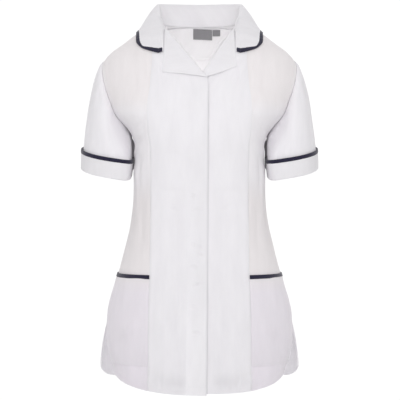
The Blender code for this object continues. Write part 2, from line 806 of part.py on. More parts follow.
def collar_half(stations):
    """Points of half the collar: stations from the centre back, rows from seam to edge."""
    row = COLLAR_TABLE(stations)
    turn = row[:, 0]
    gorge = row[:, 1]
    corner = float(turn_at(NECK_CORNER[0], NECK_CORNER[1], True))
    scaled = np.where(turn > 0, turn * corner / COLLAR_TURN, turn)
    level = NECK_TABLE(np.minimum(scaled, 0.0))[..., 0]
    share = np.clip(scaled / corner, 0.0, 1.0)
    level = np.where(
        scaled > 0, NECK[2][1] + (NECK_CORNER[1] - NECK[2][1]) * share**1.5, level
    )
    seam = np.where((scaled > 0)[:, None], form(scaled, level, True), form(scaled, level, False))
    seam = seam + np.array([0.0, 0.0, STAND_RISE])
    gorge_start = NECK_CORNER[0] + GORGE_GAP
    gorge_x = gorge_start + (NOTCH[0] - gorge_start) * gorge
    gorge_z = NECK_CORNER[1] + (NOTCH[1] - NECK_CORNER[1]) * gorge
    gorge_turn = turn_at(gorge_x, gorge_z, True)
    flat, _ = on_form(gorge_turn, gorge_z, True, 0.0 * gorge + COLLAR_CLEAR)
    blend = np.clip(stations - GORGE_STATION, 0.0, 1.0)[:, None]
    blend = blend * blend * (3 - 2 * blend)
    seam = seam * (1 - blend) + flat * blend
    roll = row[:, 2:5]
    edge = row[:, 5:8]
    reach = row[:, 8:9]
    clear = row[:, 9]
    out = edge - seam
    out[:, 2] = 0.0
    out = out / np.linalg.norm(out, axis=1, keepdims=True)
    rows = []
    for k in range(STAND_STEPS):
        t = k / STAND_STEPS
        up = roll - seam
        rows.append(bezier(seam, seam + up * 0.45, roll - out * reach, roll, t))
    length = np.linalg.norm(edge - roll, axis=1)
    falls = [0.0] + list(FALL_SHARES)
    for share in falls + [None, 1.0]:
        t = (1.0 - BIND_WIDTH / length) if share is None else share + 0.0 * length
        t = t[:, None]
        bulge = edge + (roll - edge) * 0.40 + out * reach
        rows.append(bezier(roll, roll + out * reach, bulge, edge, t))
    grid = np.stack(rows, 1)
    front = np.clip(stations - FRONT_STATION, 0.0, 1.0)[:, None] ** 2
    width = (grid[..., 0] - grid[:, :1, 0]) / (grid[:, -1:, 0] - grid[:, :1, 0])
    grid[..., 2] -= COLLAR_SAG * front * np.clip(4 * width * (1 - width), 0.0, 1.0)
    need = np.zeros(grid.shape[:2])
    need[:, STAND_STEPS:] = COLLAR_CLEAR
    need[:, :STAND_STEPS] = COLLAR_CLEAR * clear[:, None]
    pushed = push_out(grid, need)
    keep = need <= 1e-6
    grid = np.where(keep[..., None], grid, pushed)
    return grid


def make_collar():
    last = len(COLLAR) - 1.0
    stations = np.linspace(0.0, last, COLLAR_STEPS + 1)
    end_run = (NECK_CORNER[1] - NOTCH[1]) / 2
    stations = np.append(stations[:-1], [last - BIND_WIDTH / end_run, last])
    stations = np.unique(np.round(stations, 6))
    half = collar_half(stations)
    other = half[::-1][:-1] * (-1.0, 1.0, 1.0)
    grid = np.concatenate([other, half])
    columns, rows = grid.shape[:2]
    flat = grid.reshape(-1, 3)
    everything = grid_quads(columns, rows)
    normals = face_normals(flat, everything)

    def bound(i, j):
        return j == rows - 2 or i in (0, columns - 2)

    main = grid_quads(columns, rows, keep=lambda i, j: not bound(i, j))
    band = grid_quads(columns, rows, keep=bound)
    wall("collar", flat, main, WHITE, DOUBLE, normals)
    raised = flat + normals * TRIM_RISE
    wall("collar_trim", raised, band, NAVY, BINDING, normals, gap=2 * SEAM_GAP)


# Sleeves


def sleeve_lines(angles):
    """Start, handles and end of each line down the sleeve."""
    angles = np.asarray(angles, float)
    front = angles <= 180.0
    turn_f, z_f = arm_curve(angles, True)
    turn_b, z_b = arm_curve(angles, False)
    start = np.where(front[:, None], form(turn_f, z_f, True), form(turn_b, z_b, False))
    start = start + np.array([SLEEVE_ROOT_GAP, 0.0, 0.0])
    a = np.radians(angles)[:, None]
    c = np.cos(a)
    s = np.sin(a)
    size = (np.abs(c) ** SLEEVE_SQUARE + np.abs(s) ** SLEEVE_SQUARE) ** (-1.0 / SLEEVE_SQUARE)
    end = np.array(SLEEVE_CENTRE) + size * c * np.array(SLEEVE_SIDE)
    end = end + size * s * np.array(SLEEVE_FRONT)
    run = SLEEVE_TABLE(angles)
    way = run[:, :3] / np.linalg.norm(run[:, :3], axis=1, keepdims=True)
    up = np.array(SLEEVE_DRAFT)
    return start, start + way * run[:, 3:4], end + up * run[:, 4:5], end


def sleeve_points(angles, share):
    a, b, c, d = sleeve_lines(angles)
    return bezier(a, b, c, d, np.asarray(share, float)[:, None])


def arm_angles():
    """Angles round the armhole that match the rows of the panels."""
    out = []
    fine = np.linspace(0.0, 180.0, 400)
    for front in (True, False):
        turn, z = arm_curve(fine, front)
        p = form(turn, z, front)
        run = np.concatenate([[0.0], np.cumsum(np.linalg.norm(np.diff(p, axis=0), axis=1))])
        want = np.interp(np.linspace(0.0, run[-1], ARM_ROWS + 1), run, fine)
        out.append(want)
    return np.concatenate([out[0], 360.0 - out[1][::-1][1:-1]])


def make_sleeves():
    angles = arm_angles()
    count = len(angles)
    rows = [sleeve_points(angles, s + 0.0 * angles) for s in SLEEVE_SHARES]
    points = np.stack(rows, 1)
    quads = ring_quads(count, len(SLEEVE_SHARES))
    normals = face_normals(points.reshape(-1, 3), quads)
    middle = points.mean(axis=(0, 1))
    if np.sum(normals * (points.reshape(-1, 3) - middle)) < 0.0:
        quads = [q[::-1] for q in quads]
    for side in ("right", "left"):
        wall(side + "_sleeve", points, quads, WHITE, CLOTH, None, side == "right")
    make_cuffs(angles)


def make_cuffs(angles):
    """Turn-back cuffs: bands that follow the sleeve a little further out."""
    fine = np.linspace(0.0, 1.0, 200)
    lines = np.stack([sleeve_points(angles, s + 0.0 * angles) for s in fine], 1)
    run = np.linalg.norm(np.diff(lines, axis=1), axis=2)
    back = np.cumsum(run[:, ::-1], axis=1)[:, ::-1]
    back = np.concatenate([back, np.zeros((len(angles), 1))], axis=1)
    rows = []
    for mark, _ in CUFF_ROWS:
        share = np.array([np.interp(-mark, -back[i], fine) for i in range(len(angles))])
        rows.append(sleeve_points(angles, share))
    points = np.stack(rows, 1)
    rows = len(CUFF_ROWS)
    quads = ring_quads(len(angles), rows)
    flat = points.reshape(-1, 3)
    normals = face_normals(flat, quads)
    middle = flat.mean(axis=0)
    if np.sum(normals * (flat - middle)) < 0.0:
        quads = [q[::-1] for q in quads]
        normals = -normals
    heights = [height for _, height in CUFF_ROWS]
    out = flat + normals * np.tile(heights, len(angles))[:, None]
    out = out.reshape(len(angles), rows, 3)
    out[:, -1, 2] -= CUFF_DROP
    flat = out.reshape(-1, 3)
    band = [q for q in quads if min(v % rows for v in q) == 0]
    main = [q for q in quads if min(v % rows for v in q) > 0]
    for side in ("right", "left"):
        mirrored = side == "right"
        wall(side + "_cuff", flat, main, WHITE, DOUBLE, normals, mirrored)
        raised = flat + normals * TRIM_RISE
        wall(side + "_cuff_trim", raised, band, NAVY, BINDING, normals, mirrored)


def main():
    for obj in list(bpy.data.objects):
        bpy.data.objects.remove(obj, do_unlink=True)
    make_fronts()
    make_back()
    make_facing()
    make_lapels()
    make_collar()
    make_sleeves()


main()
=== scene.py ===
"""Looks of the women's healthcare tunic, built round its packed construction frame.

Metres, +Z up. The front faces -Y, and the wearer's left is at +X. The panels follow the
same form as the solids, with finer grids, seams, stitches, creases, binding and weave.
"""

import math

import bpy
import numpy as np
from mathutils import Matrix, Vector


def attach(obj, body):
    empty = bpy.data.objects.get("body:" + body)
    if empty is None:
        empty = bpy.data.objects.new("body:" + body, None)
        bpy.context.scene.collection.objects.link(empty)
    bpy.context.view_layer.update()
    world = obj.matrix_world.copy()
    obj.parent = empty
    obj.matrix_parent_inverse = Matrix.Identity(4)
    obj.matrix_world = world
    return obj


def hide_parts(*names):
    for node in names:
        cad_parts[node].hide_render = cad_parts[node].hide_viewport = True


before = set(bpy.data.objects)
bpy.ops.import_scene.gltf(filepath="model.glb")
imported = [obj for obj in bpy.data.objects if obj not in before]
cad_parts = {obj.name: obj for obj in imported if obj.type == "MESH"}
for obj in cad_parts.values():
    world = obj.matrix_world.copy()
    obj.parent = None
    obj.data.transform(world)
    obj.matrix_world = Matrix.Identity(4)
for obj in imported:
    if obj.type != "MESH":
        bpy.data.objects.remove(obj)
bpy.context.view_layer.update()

MM = 0.001

# Cloth thicknesses
ALLOWANCE_CLOTH = 0.0005
TAPE = 0.0004
SATIN = 0.0006
TURNED = 0.0007
CUFF_CLOTH = 0.0009
THIN = 0.0010
CLOTH = 0.0012
DOUBLE = 0.0016

# Overall design sizes
TIP_Z = -0.088
PIT_Z = -0.238
VENT_Z = -0.596
BIND_WIDTH = 0.0086
POCKET_TOP = -0.5096
POCKET_FOOT = -0.683
CUFF_HEIGHT = 0.0400
LAP = 0.0165
LAP_LIFT = 0.0020

# Body form, one row a level: z, half width front, half width back, depth front, depth back
# in millimetres, then squareness front and back
BODY = (
    (10, 40, 40, 12, 48, 2.2, 2.2),
    (-12, 75, 75, 33, 53.5, 2.2, 2.2),
    (-20.5, 100, 100, 44, 57.5, 2.3, 2.2),
    (-38, 130, 130, 61, 65.5, 2.3, 2.3),
    (-56, 152.8, 152.8, 75, 73.5, 2.4, 2.3),
    (-74, 176.8, 176.8, 87, 80.5, 2.4, 2.4),
    (-88, 188.5, 188.5, 95.5, 85.5, 2.5, 2.4),
    (-105, 197.5, 197.5, 104, 91, 2.5, 2.4),
    (-125, 200.5, 200.5, 112.5, 96.5, 2.5, 2.5),
    (-150, 196, 196, 121.5, 101.5, 2.5, 2.5),
    (-170, 187, 187, 127.5, 104, 2.5, 2.5),
    (-200, 169, 169, 133.5, 104.5, 2.6, 2.5),
    (-222, 146.5, 146.5, 134.5, 102, 2.7, 2.6),
    (-238, 134.5, 134.5, 133.5, 99, 2.8, 2.6),
    (-260, 128.5, 128.5, 130, 94, 2.9, 2.6),
    (-285, 128.5, 128.5, 123.5, 88, 2.9, 2.6),
    (-310, 130.5, 130.5, 117.5, 82, 2.9, 2.6),
    (-340, 130.8, 130.8, 113.5, 77.5, 2.9, 2.6),
    (-370, 132, 132, 112.5, 78.5, 2.9, 2.6),
    (-410, 136.5, 136.5, 115, 87, 2.9, 2.6),
    (-460, 148, 148, 121.5, 103, 2.8, 2.6),
    (-520, 163.5, 163.5, 129, 119.5, 2.8, 2.5),
    (-596, 181.8, 181.8, 135.5, 132, 2.8, 2.5),
    (-634, 183.5, 190.5, 138, 136.5, 2.8, 2.5),
    (-654, 181.2, 194, 139.5, 138.8, 2.8, 2.5),
    (-683, 174, 197, 142, 141.8, 2.8, 2.5),
    (-705, 169, 197.8, 143.5, 144, 2.8, 2.5),
    (-745, 162, 199, 145.5, 148, 2.8, 2.5),
)

# Soft fullness over each bust: x, z, spread, height
BUST = (0.078, -0.205, 0.042, 0.004)

# Neck seam by the turn round the neck: degrees from the side, z
NECK = ((-90.0, -0.0146), (-45.0, -0.0138), (0.0, -0.0120), (33.5, -0.0280))
NECK_POWER = 1.5

# Princess seam from shoulder to hem: z, x
PRINCESS = (
    (-0.03, 0.0978), (-0.06, 0.093), (-0.09, 0.0917), (-0.14, 0.0945), (-0.19, 0.0998),
    (-0.23, 0.1003), (-0.265, 0.0958), (-0.35, 0.095), (-0.5, 0.0958), (-0.6, 0.0985),
    (-0.74, 0.099),
)

# Front hem: distance from the centre line, z
FRONT_HEM = (
    (-0.02, -0.7347), (0.0, -0.7345), (0.05, -0.7333), (0.0935, -0.7297), (0.131, -0.7228),
    (0.15, -0.717), (0.164, -0.709),
)

# Back hem: degrees round from the side, z
BACK_HEM = ((0.0, -0.6970), (7.0, -0.7080), (25.0, -0.7270), (50.0, -0.7330), (90.0, -0.7350))

# Vent edge of the front: z, degrees forward of the side
VENT_EDGE = (
    (-0.596, 0.0), (-0.614, 1.2), (-0.634, 4.0), (-0.654, 7.0), (-0.683, 12.0), (-0.709, 16.5),
)

# Front edge: z, distance past the centre line
FRONT_EDGE = ((-0.133, 0.0165), (-0.300, 0.0160), (-0.740, 0.0133))

# Neck corner where lapel, collar and front meet: x, z
NECK_CORNER = (0.0678, -0.0280)

# Lapels: where the roll line bends x, z; its end x, z; lower outer corner x, z; sag below.
# The left one bends where it meets the right front, and follows that front's edge.
LAPEL = {
    "right": ((-0.0060, -0.1222), (-0.0140, -0.1325), (0.0714, -0.1206), 0.0000),
    "left": ((0.0076, -0.1212), (0.0152, -0.1304), (0.0721, -0.1094), 0.0015),
}
LAPEL_GAP = 0.0006
LAPEL_RISE = 0.0007
LAPEL_CROWN = 0.0012
LAPEL_TURN = 10
BEND_SHARE = 0.9
NOTCH = (0.0702, -0.0797)

# Where the princess seam meets the shoulder, and the rows' level marks on two edges
SPLIT_Z = -0.0205
PRINCESS_MARK = -0.222
EDGE_MARK = -0.215

# Roll line of each front: level where the edge turns towards it, its lower end x, z
ROLL_START = -0.158
ROLL_END = {"right": (-0.0145, -0.1328), "left": (0.0000, -0.1330)}

# The fronts' hem corners hang lower or higher, fading out over a width
HEM_DROP = {"right": -0.0016, "left": 0.0020}
HEM_FADE = 0.115

# Overlap of the fronts: where it ends and where it is whole, across and upwards
LAP_ACROSS = (0.062, 0.022)
LAP_UP = (-0.085, -0.118)

# How fast the hem's and the shoulder's shape fade inside a panel
HEM_POWER = 3.0
SHOULDER_POWER = 1.6

# Pocket: clearance on the panel, ease of its mouth, level where the ease starts, its run
POCKET_CLEAR = 0.0004
POCKET_EASE = 0.0008
POCKET_EASE_Z = -0.640
POCKET_EASE_RUN = 0.12

# Armhole: widest turn forward and back in degrees, lean of the widest place, its middle
ARM_FRONT = 18.2
ARM_BACK = 19.0
ARM_LEAN = 0.08
ARM_MIDDLE = 0.5 * (TIP_Z + PIT_Z)

# Sleeve opening: centre, half width vector, half depth vector, squareness, and how much
# squarer and closer to the body the inner front quarter is
SLEEVE_CENTRE = np.array((0.1865, 0.0040, -0.3110))
SLEEVE_SIDE = np.array((0.0490, 0.0, 0.0090))
SLEEVE_FRONT = np.array((0.0, -0.0720, -0.0110))
SLEEVE_SQUARE = 2.2
SLEEVE_FULLER = 2.4
SLEEVE_INWARD = (0.0085, 0.0005)
SLEEVE_DRAFT = np.array((-0.07, 0.0, 0.9975))
SLEEVE_ROOT_GAP = 0.0005

# Cuff rows from the sleeve's end up: height, distance out from the sleeve
CUFF_HEIGHTS = (0.0, 0.0098, 0.0196, CUFF_HEIGHT - BIND_WIDTH, CUFF_HEIGHT)
CUFF_OUT = (0.0020, 0.0024, 0.0029, 0.0034, 0.0036)
CUFF_DROP = 0.0010
CUFF_LIFT = 0.0026
CUFF_INNER = -0.0022

# How the sleeve leaves the armhole: degrees round from the shoulder,
# direction x, y, z, reach from the armhole, reach from the opening
SLEEVE_RUN = (
    (0.0, 0.8, 0.0, -0.6, 0.028, 0.1),
    (45.0, 0.7, -0.5, -0.5, 0.026, 0.09),
    (90.0, 0.35, -0.64, -0.62, 0.028, 0.07),
    (135.0, -0.02, -0.3, -0.95, 0.03, 0.045),
    (158.0, -0.1, -0.7, -0.7, 0.034, 0.04),
    (180.0, 0.02, 0.0, -1.0, 0.02, 0.03),
    (225.0, 0.05, 0.7, -0.7, 0.022, 0.045),
    (270.0, 0.35, 0.75, -0.55, 0.028, 0.07),
    (315.0, 0.7, 0.5, -0.5, 0.026, 0.09),
    (360.0, 0.8, 0.0, -0.6, 0.028, 0.1),
)

# Collar stations from the centre back to the front end: turn of the neck seam, share of the
# gorge, roll x, y, z, edge x, y, z, roll reach, clearance
COLLAR = (
    (-90.0, 0.0, 0.0, 0.064, 0.034, 0.0, 0.082, -0.036, 0.0065, 0.0),
    (-60.0, 0.0, 0.034, 0.0605, 0.034, 0.043, 0.079, -0.037, 0.0065, 0.0),
    (-34.6, 0.0, 0.066, 0.0465, 0.0325, 0.082, 0.069, -0.038, 0.0075, 0.0),
    (-14.4, 0.0, 0.0845, 0.024, 0.029, 0.108, 0.05, -0.0385, 0.011, 0.0),
    (0.0, 0.0, 0.085, 0.004, 0.0205, 0.123, 0.022, -0.0365, 0.012, 0.0),
    (15.1, 0.0, 0.0815, -0.014, 0.0045, 0.1256, -0.008, -0.033, 0.009, 0.0),
    (27.8, 0.0, 0.0738, -0.032, -0.014, 0.1254, -0.033, -0.04, 0.005, 0.3),
    (32.6, 0.02, 0.0718, -0.045, -0.0275, 0.124, -0.044, -0.05, 0.0035, 0.8),
    (32.6, 0.5, 0.076, -0.07, -0.053, 0.1215, -0.054, -0.0615, 0.003, 1.0),
    (32.6, 1.0, 0.0785, -0.0905, -0.0788, 0.1115, -0.064, -0.0722, 0.003, 1.0),
)
COLLAR_TURN = COLLAR[-1][0]
LAST_STATION = len(COLLAR) - 1.0
GORGE_STATION = 6.0
FRONT_STATION = 8.0
GORGE_GAP = 0.0014
COLLAR_CLEAR = 0.0026
COLLAR_SAG = 0.0022
COLLAR_TIP_DROP = 0.0035
CORNER_RADIUS = 0.010
STAND_RISE = 0.0005

# Back neck facing, lower edge: x, z
FACING = (
    (0.0, -0.077), (0.0165, -0.0765), (0.026, -0.069), (0.034, -0.056), (0.045, -0.042),
    (0.058, -0.03), (0.066, -0.0235),
)
FACING_TOP = -0.0150
FACING_SLOPE = 0.0035
FACING_CLEAR = 0.0014

# Blank neck label and size tab: left x, right x, lower edge z, slope of the lower edge
LABELS = {
    "label": (-0.0130, 0.0262, -0.0370, 0.0018),
    "size_tab": (0.0270, 0.0430, -0.0290, 0.0),
}
LABEL_TOP = -0.0170
LABEL_CLEAR = 0.0006

# Grids: rows up the side by stretch, rows up the front edge above it, columns
SIDE_ROWS = (12, 32, 32, 4, 104)
UPPER_ROWS = (20, 14, 40, 6)
ARM_ROWS = sum(UPPER_ROWS)
VENT_SPLIT = sum(SIDE_ROWS[:2])
SIDE_SPLIT = sum(SIDE_ROWS)
EDGE_SPLIT = SIDE_SPLIT + UPPER_ROWS[0]
ROLL_SPLIT = SIDE_SPLIT + sum(UPPER_ROWS[:3])
FRONT_COLUMNS = 46
SIDE_COLUMNS = 50
SHOULDER_COLUMNS = 48
NECK_COLUMNS = 36
POCKET_COLUMNS = 51
COLLAR_COLUMNS = 110
STAND_ROWS = 16
FALL_ROWS = 30
SLEEVE_COLUMNS = 160
SLEEVE_ROWS = 84
POCKET_ROWS = 76
FACING_GRID = (96, 48)
LABEL_GRID = (40, 24)
LAPEL_GRID = (64, 44)
CUFF_ROWS = (26, 12)
BIND_ROWS = 6
SLEEVE_ANGLES = np.linspace(0.0, 360.0, SLEEVE_COLUMNS, endpoint=False)
ALL = slice(None)

# Creases on the fronts in millimetres: start x, z, end x, z, bow, width left, width right, height
FRONT_CREASES = (
    (99, -150, 101, -78, 0, 5, 5, 0.6),
    (78, -160, 80, -85, 0, 5, 5, 0.6),
    (69, -175, 71, -95, 0, 5, 5, -0.6),
    (131, -232, 104, -200, 3, 7, 5, -1.2),
    (127, -254, 106, -235, 2, 6, 6, -1),
    (113, -270, 117, -360, 2, 7, 5, -1),
    (122, -310, 124, -420, -2, 6, 8, 0.8),
    (108, -360, 112, -470, 2, 6, 9, -0.9),
    (62, -374, 40, -391, 0, 6, 5, -0.6),
    (40, -530, 38, -590, 0, 6, 6, -0.7),
    (60, -570, 63, -630, 1, 7, 7, -0.7),
    (66, -590, 68, -715, 0, 11, 11, 0.9),
    (44, -620, 43, -715, 1, 9, 9, -0.8),
    (20, -718, 65, -716, 0.5, 12, 4, -1.3),
    (92, -699, 107, -723, 0, 5, 6, 1),
    (76, -695, 73, -730, 0, 3, 4, -0.7),
    (66, -708, 64, -731, 0, 2.5, 3, -0.6),
    (104, -655, 119, -708, 2, 10, 11, -0.9),
    (134, -660, 121, -706, -2, 11, 10, -0.8),
    (138, -624, 165, -656, 2, 13, 15, -0.9),
    (110, -600, 150, -624, 3, 12, 12, 1.2),
)

# Soft-topped folds on the fronts that start at a crisp line, in the same columns
FRONT_LEDGES = (
    (88, -188, 150, -182, 4, 33, 30, 1.6),
    (20, -337, 92, -340, 2, 60, 11, 1),
    (100, -315, 130, -320, 2, 30, 12, 0.7),
)

# Small crumples in the placket of the right front, in the same columns
PLACKET_CREASES = (
    (20, -356, 4, -361, 1, 3, 2.5, -0.6),
    (16, -386, -2, -382, 1, 3, 3, -0.5),
    (18, -448, 6, -456, -1, 2.8, 2.8, -0.7),
    (12, -462, -4, -452, 1, 3, 2.6, -0.7),
    (2, -474, -8, -466, 0.8, 2.6, 2.6, -0.6),
    (19, -490, 3, -496, 1.2, 3, 3, -0.6),
    (15, -530, -4, -524, 1, 3.4, 3, -0.6),
    (21, -566, 1, -572, 1, 3.2, 3.2, -0.5),
    (17, -620, -3, -615, 1, 3.6, 3.2, -0.5),
)

# Creases on the back, the same columns; x is towards the wearer's left
BACK_CREASES = (
    (166, -190, 85, -145, 6, 12, 9, -1.6),
    (-168, -185, -92, -138, -6, 11, 9, -1.5),
    (140, -235, 78, -205, 5, 11, 8, -1.4),
    (-138, -240, -70, -212, -5, 10, 9, -1.5),
    (-85, -335, -70, -346, -7, 11, 8, -2),
    (-50, -364, -95, -356, 6, 10, 8, -1.7),
    (-100, -382, -18, -390, -5, 9, 9, -1.5),
    (30, -401, 108, -388, 4, 9, 8, -1.4),
    (88, -440, 112, -705, 6, 16, 13, -2.2),
    (-80, -460, -104, -710, -6, 15, 14, -2.1),
    (28, -500, 36, -720, 4, 17, 13, -1.8),
    (-34, -520, -30, -715, -4, 14, 15, -1.7),
    (60, -560, 70, -725, 0, 11, 11, 1.4),
    (-62, -570, -70, -720, 0, 12, 12, 1.3),
    (0, -100, 2, -240, 2, 14, 12, -0.9),
)

# Creases on a sleeve: degrees round, share down, degrees, share, widths left and right, height
SLEEVE_CREASES = (
    (28.0, 0.05, 40.0, 0.55, 0.009, 0.011, -0.0007),
    (62.0, 0.02, 70.0, 0.42, 0.007, 0.008, -0.0006),
    (98.0, 0.55, 96.0, 0.86, 0.003, 0.003, -0.0005),
    (112.0, 0.58, 109.0, 0.88, 0.0026, 0.003, 0.0005),
    (124.0, 0.52, 121.0, 0.86, 0.003, 0.0028, -0.0006),
    (138.0, 0.6, 134.0, 0.9, 0.0034, 0.003, 0.0005),
    (160.0, 0.2, 132.0, 0.46, 0.009, 0.008, -0.0005),
    (200.0, 0.15, 246.0, 0.6, 0.01, 0.009, -0.001),
    (186.0, 0.3, 214.0, 0.85, 0.009, 0.008, -0.0006),
    (262.0, 0.05, 270.0, 0.6, 0.009, 0.01, -0.001),
    (318.0, 0.08, 300.0, 0.7, 0.009, 0.009, -0.0009),
    (350.0, 0.1, 352.0, 0.75, 0.011, 0.01, 0.0008),
)

FOLD_SCALE = 2.6
PLACKET_SCALE = 1.5

# Sewing: hem depth, vent hem, placket width, distance of topstitching from a seam
HEM = 0.018
VENT_HEM = 0.010
PLACKET = 0.0400
TOPSTITCH = 0.0055
HEM_STITCH = HEM - 0.0015
VENT_STITCH = VENT_HEM - 0.001
EDGE_STITCH = 0.0022
FOOT_STITCH = 0.0040
FACING_STITCH = 0.0050
POCKET_STITCH = 0.0052
LAPEL_STITCH = 0.0050
MOUTH_STITCH = BIND_WIDTH + 0.0030
STAND_STITCHES = (0.0070, 0.0125)
STITCH_PITCH = 0.0030
ALLOWANCE = 0.005
ALLOWANCE_DEPTH = CLOTH + 0.0004
BIND_TURN = 0.0016
BIND_RISE = 0.0005

# Doubled hems: width, rise
HEM_PAD = (HEM, 0.0004)
VENT_PAD = (VENT_HEM, 0.0003)

# Sewn channels that several pieces share: distance, width, depth, pucker length and height
HEM_PRESS = (HEM, 0.0011, 0.0005, 0.013, 0.00022)
VENT_PRESS = (VENT_HEM, 0.0010, 0.0004, 0.012, 0.00018)
ARM_PRESS = (TOPSTITCH, 0.0011, 0.0005, 0.012, 0.0002)

# Rounded edges that several pieces share: depth, width
FREE_EDGE = (0.0008, 0.0014)
PRINCESS_SEAM = (0.0009, 0.0018)
SHOULDER_SEAM = (0.0009, 0.0020)
SIDE_SEAM = (0.0011, 0.0024)
NECK_SEAM = (0.0006, 0.0020)
ARM_SEAM = (0.0002, 0.0015)
LAPEL_EDGE = (0.0007, 0.0014)

# Levels between which the princess seam starts to show, below the bust
BELOW_BUST = (-0.160, -0.230)

# Rounded turns of an edge, in degrees from its outer side
TAPE_TURN = np.radians((65.0, 40.0, 15.0, -15.0, -40.0, -65.0))
CUFF_TURN = np.radians((25.0, 55.0, 90.0, 125.0, 155.0))
ROLL_TURN = np.radians(np.linspace(175.0, 15.0, LAPEL_TURN))

# Soft unevenness of the pieces: height, length, phase on the left, phase on the right
SWAYS = {
    "front": (0.0005, 0.16, 1.9, 0.4),
    "side_front": (0.0006, 0.13, 0.9, 2.7),
    "back": (0.0007, 0.19, 1.3, 1.3),
    "pocket": (0.0006, 0.11, 0.2, 3.1),
    "facing": (0.0004, 0.07, 0.6, 0.6),
    "label": (0.00025, 0.035, 1.1, 1.1),
    "sleeve": (0.0006, 0.12, 2.2, 0.5),
    "cuff": (0.0006, 0.07, 0.3, 1.4),
}

# Painted light and shade on the side fronts and pockets, as tints by level: a warm painted shade,
# a lighter band and a cool painted shade low down. Rows: level, tint. The lowest and the highest level come
# first.
TINT_FLOOR = -0.80
WARM_PAINTED_SHADE = (1.010, 0.984, 0.970)
PAINTED_LIGHT_TINT = (1.025, 1.015, 1.020)
COOL_PAINTED_SHADE = (0.990, 0.957, 0.996)
SIDE_PAINTED_TINTS = (
    (-0.545, COOL_PAINTED_SHADE),
    (-0.170, WARM_PAINTED_SHADE),
    (-0.500, WARM_PAINTED_SHADE),
    (-0.370, WARM_PAINTED_SHADE),
    (-0.325, PAINTED_LIGHT_TINT),
    (-0.200, PAINTED_LIGHT_TINT),
)

# Camera and floor
CAMERA_PLACE = (0.001, -2.6, -0.366)
CAMERA_LENS = 117.0
CAMERA_SENSOR = 36.0
FLOOR_RADIUS = 2.4
FLOOR_PLACE = (0.0, 0.0, -1.25)

# Lights: name, place, target, width, watts, colour
AIM = (0.0, 0.0, -0.32)
WHITE_LIGHT = (1.0, 1.0, 1.0)
LIGHTS = (
    ("key", (0.0, -2.2, 0.75), AIM, 0.9, 11.3, WHITE_LIGHT),
    ("front", (0.0, -1.0, -0.18), (0.0, 0.0, -0.20), 0.4, 1.5, WHITE_LIGHT),
    ("rear", (0.0, 2.6, 0.9), AIM, 1.6, 4.0, WHITE_LIGHT),
    ("neck", (0.0, -0.035, -0.21), (0.0, 0.055, -0.05), 0.09, 0.135, (0.99, 1.00, 0.945)),
    ("skirt", (0.0, -0.02, -0.64), (0.0, 0.12, -0.66), 0.12, 0.10, WHITE_LIGHT),
)


# Lines and tables


def unit(v):
    return v / np.linalg.norm(v, axis=-1, keepdims=True)


def run_of(line):
    """Distance along a line of points, from its start."""
    steps = np.linalg.norm(np.diff(line, axis=0), axis=1)
    return np.concatenate([[0.0], np.cumsum(steps)])


def read_line(want, run, line):
    return np.stack([np.interp(want, run, line[:, k]) for k in range(3)], -1)


def ease(t):
    return t * t * (3.0 - 2.0 * t)


def ramp(value, start, stop):
    """Soft step from 0 at start to 1 at stop."""
    return ease(np.clip((value - start) / (stop - start), 0.0, 1.0))


def bell(value, middle, width):
    return np.exp(-(((value - middle) / width) ** 2))


def bezier(a, b, c, d, t):
    return a * (1 - t) ** 3 + 3 * b * t * (1 - t) ** 2 + 3 * c * t * t * (1 - t) + d * t**3


def slopes(x, y):
    """Slopes of a smooth curve through the rows that never overshoots them."""
    gap = np.diff(x)
    rise = np.diff(y, axis=0) / gap[:, None]
    out = np.zeros_like(y)
    out[0] = rise[0]
    out[-1] = rise[-1]
    for i in range(1, len(x) - 1):
        one = 2.0 * gap[i] + gap[i - 1]
        two = gap[i] + 2.0 * gap[i - 1]
        for c in range(y.shape[1]):
            before = rise[i - 1, c]
            after = rise[i, c]
            if before * after > 0.0:
                out[i, c] = (one + two) / (one / before + two / after)
    return out


class Table:
    """A table whose first column is the place to read it at."""

    def __init__(self, rows, units=1.0):
        data = np.array(sorted(rows), float) * units
        self.x = data[:, 0]
        self.y = data[:, 1:]
        self.m = slopes(self.x, self.y)

    def __call__(self, at):
        at = np.clip(np.asarray(at, float), self.x[0], self.x[-1])
        i = np.clip(np.searchsorted(self.x, at, side="right") - 1, 0, len(self.x) - 2)
        width = self.x[i + 1] - self.x[i]
        t = ((at - self.x[i]) / width)[..., None]
        width = width[..., None]
        left = (1 + 2 * t) * (1 - t) ** 2 * self.y[i] + t * (1 - t) ** 2 * width * self.m[i]
        right = t * t * (3 - 2 * t) * self.y[i + 1] + t * t * (t - 1) * width * self.m[i + 1]
        both = left + right
        return both[..., 0] if both.shape[-1] == 1 else both


BODY_TABLE = Table(BODY, (MM, MM, MM, MM, MM, 1.0, 1.0))
NECK_TABLE = Table(NECK)
PRINCESS_TABLE = Table(PRINCESS)
HEM_TABLE = Table(FRONT_HEM)
BACK_HEM_TABLE = Table(BACK_HEM)
VENT_TABLE = Table(VENT_EDGE)
EDGE_TABLE = Table(FRONT_EDGE)
SLEEVE_TABLE = Table(SLEEVE_RUN)
COLLAR_TABLE = Table([(i,) + row for i, row in enumerate(COLLAR)])
FACING_TABLE = Table(FACING)


# The body form


def section(z, front):
    """Half width, depth and squareness of the body at a level."""
    row = BODY_TABLE(z)
    k = 0 if front else 1
    return row[..., k], row[..., k + 2], row[..., k + 4]


def bust(x, z):
    """How far the bust stands out in front of the plain form."""
    across = (np.abs(x) - BUST[0]) / BUST[2]
    along = (z - BUST[1]) / BUST[2]
    return BUST[3] * np.exp(-0.5 * (across**2 + along**2))


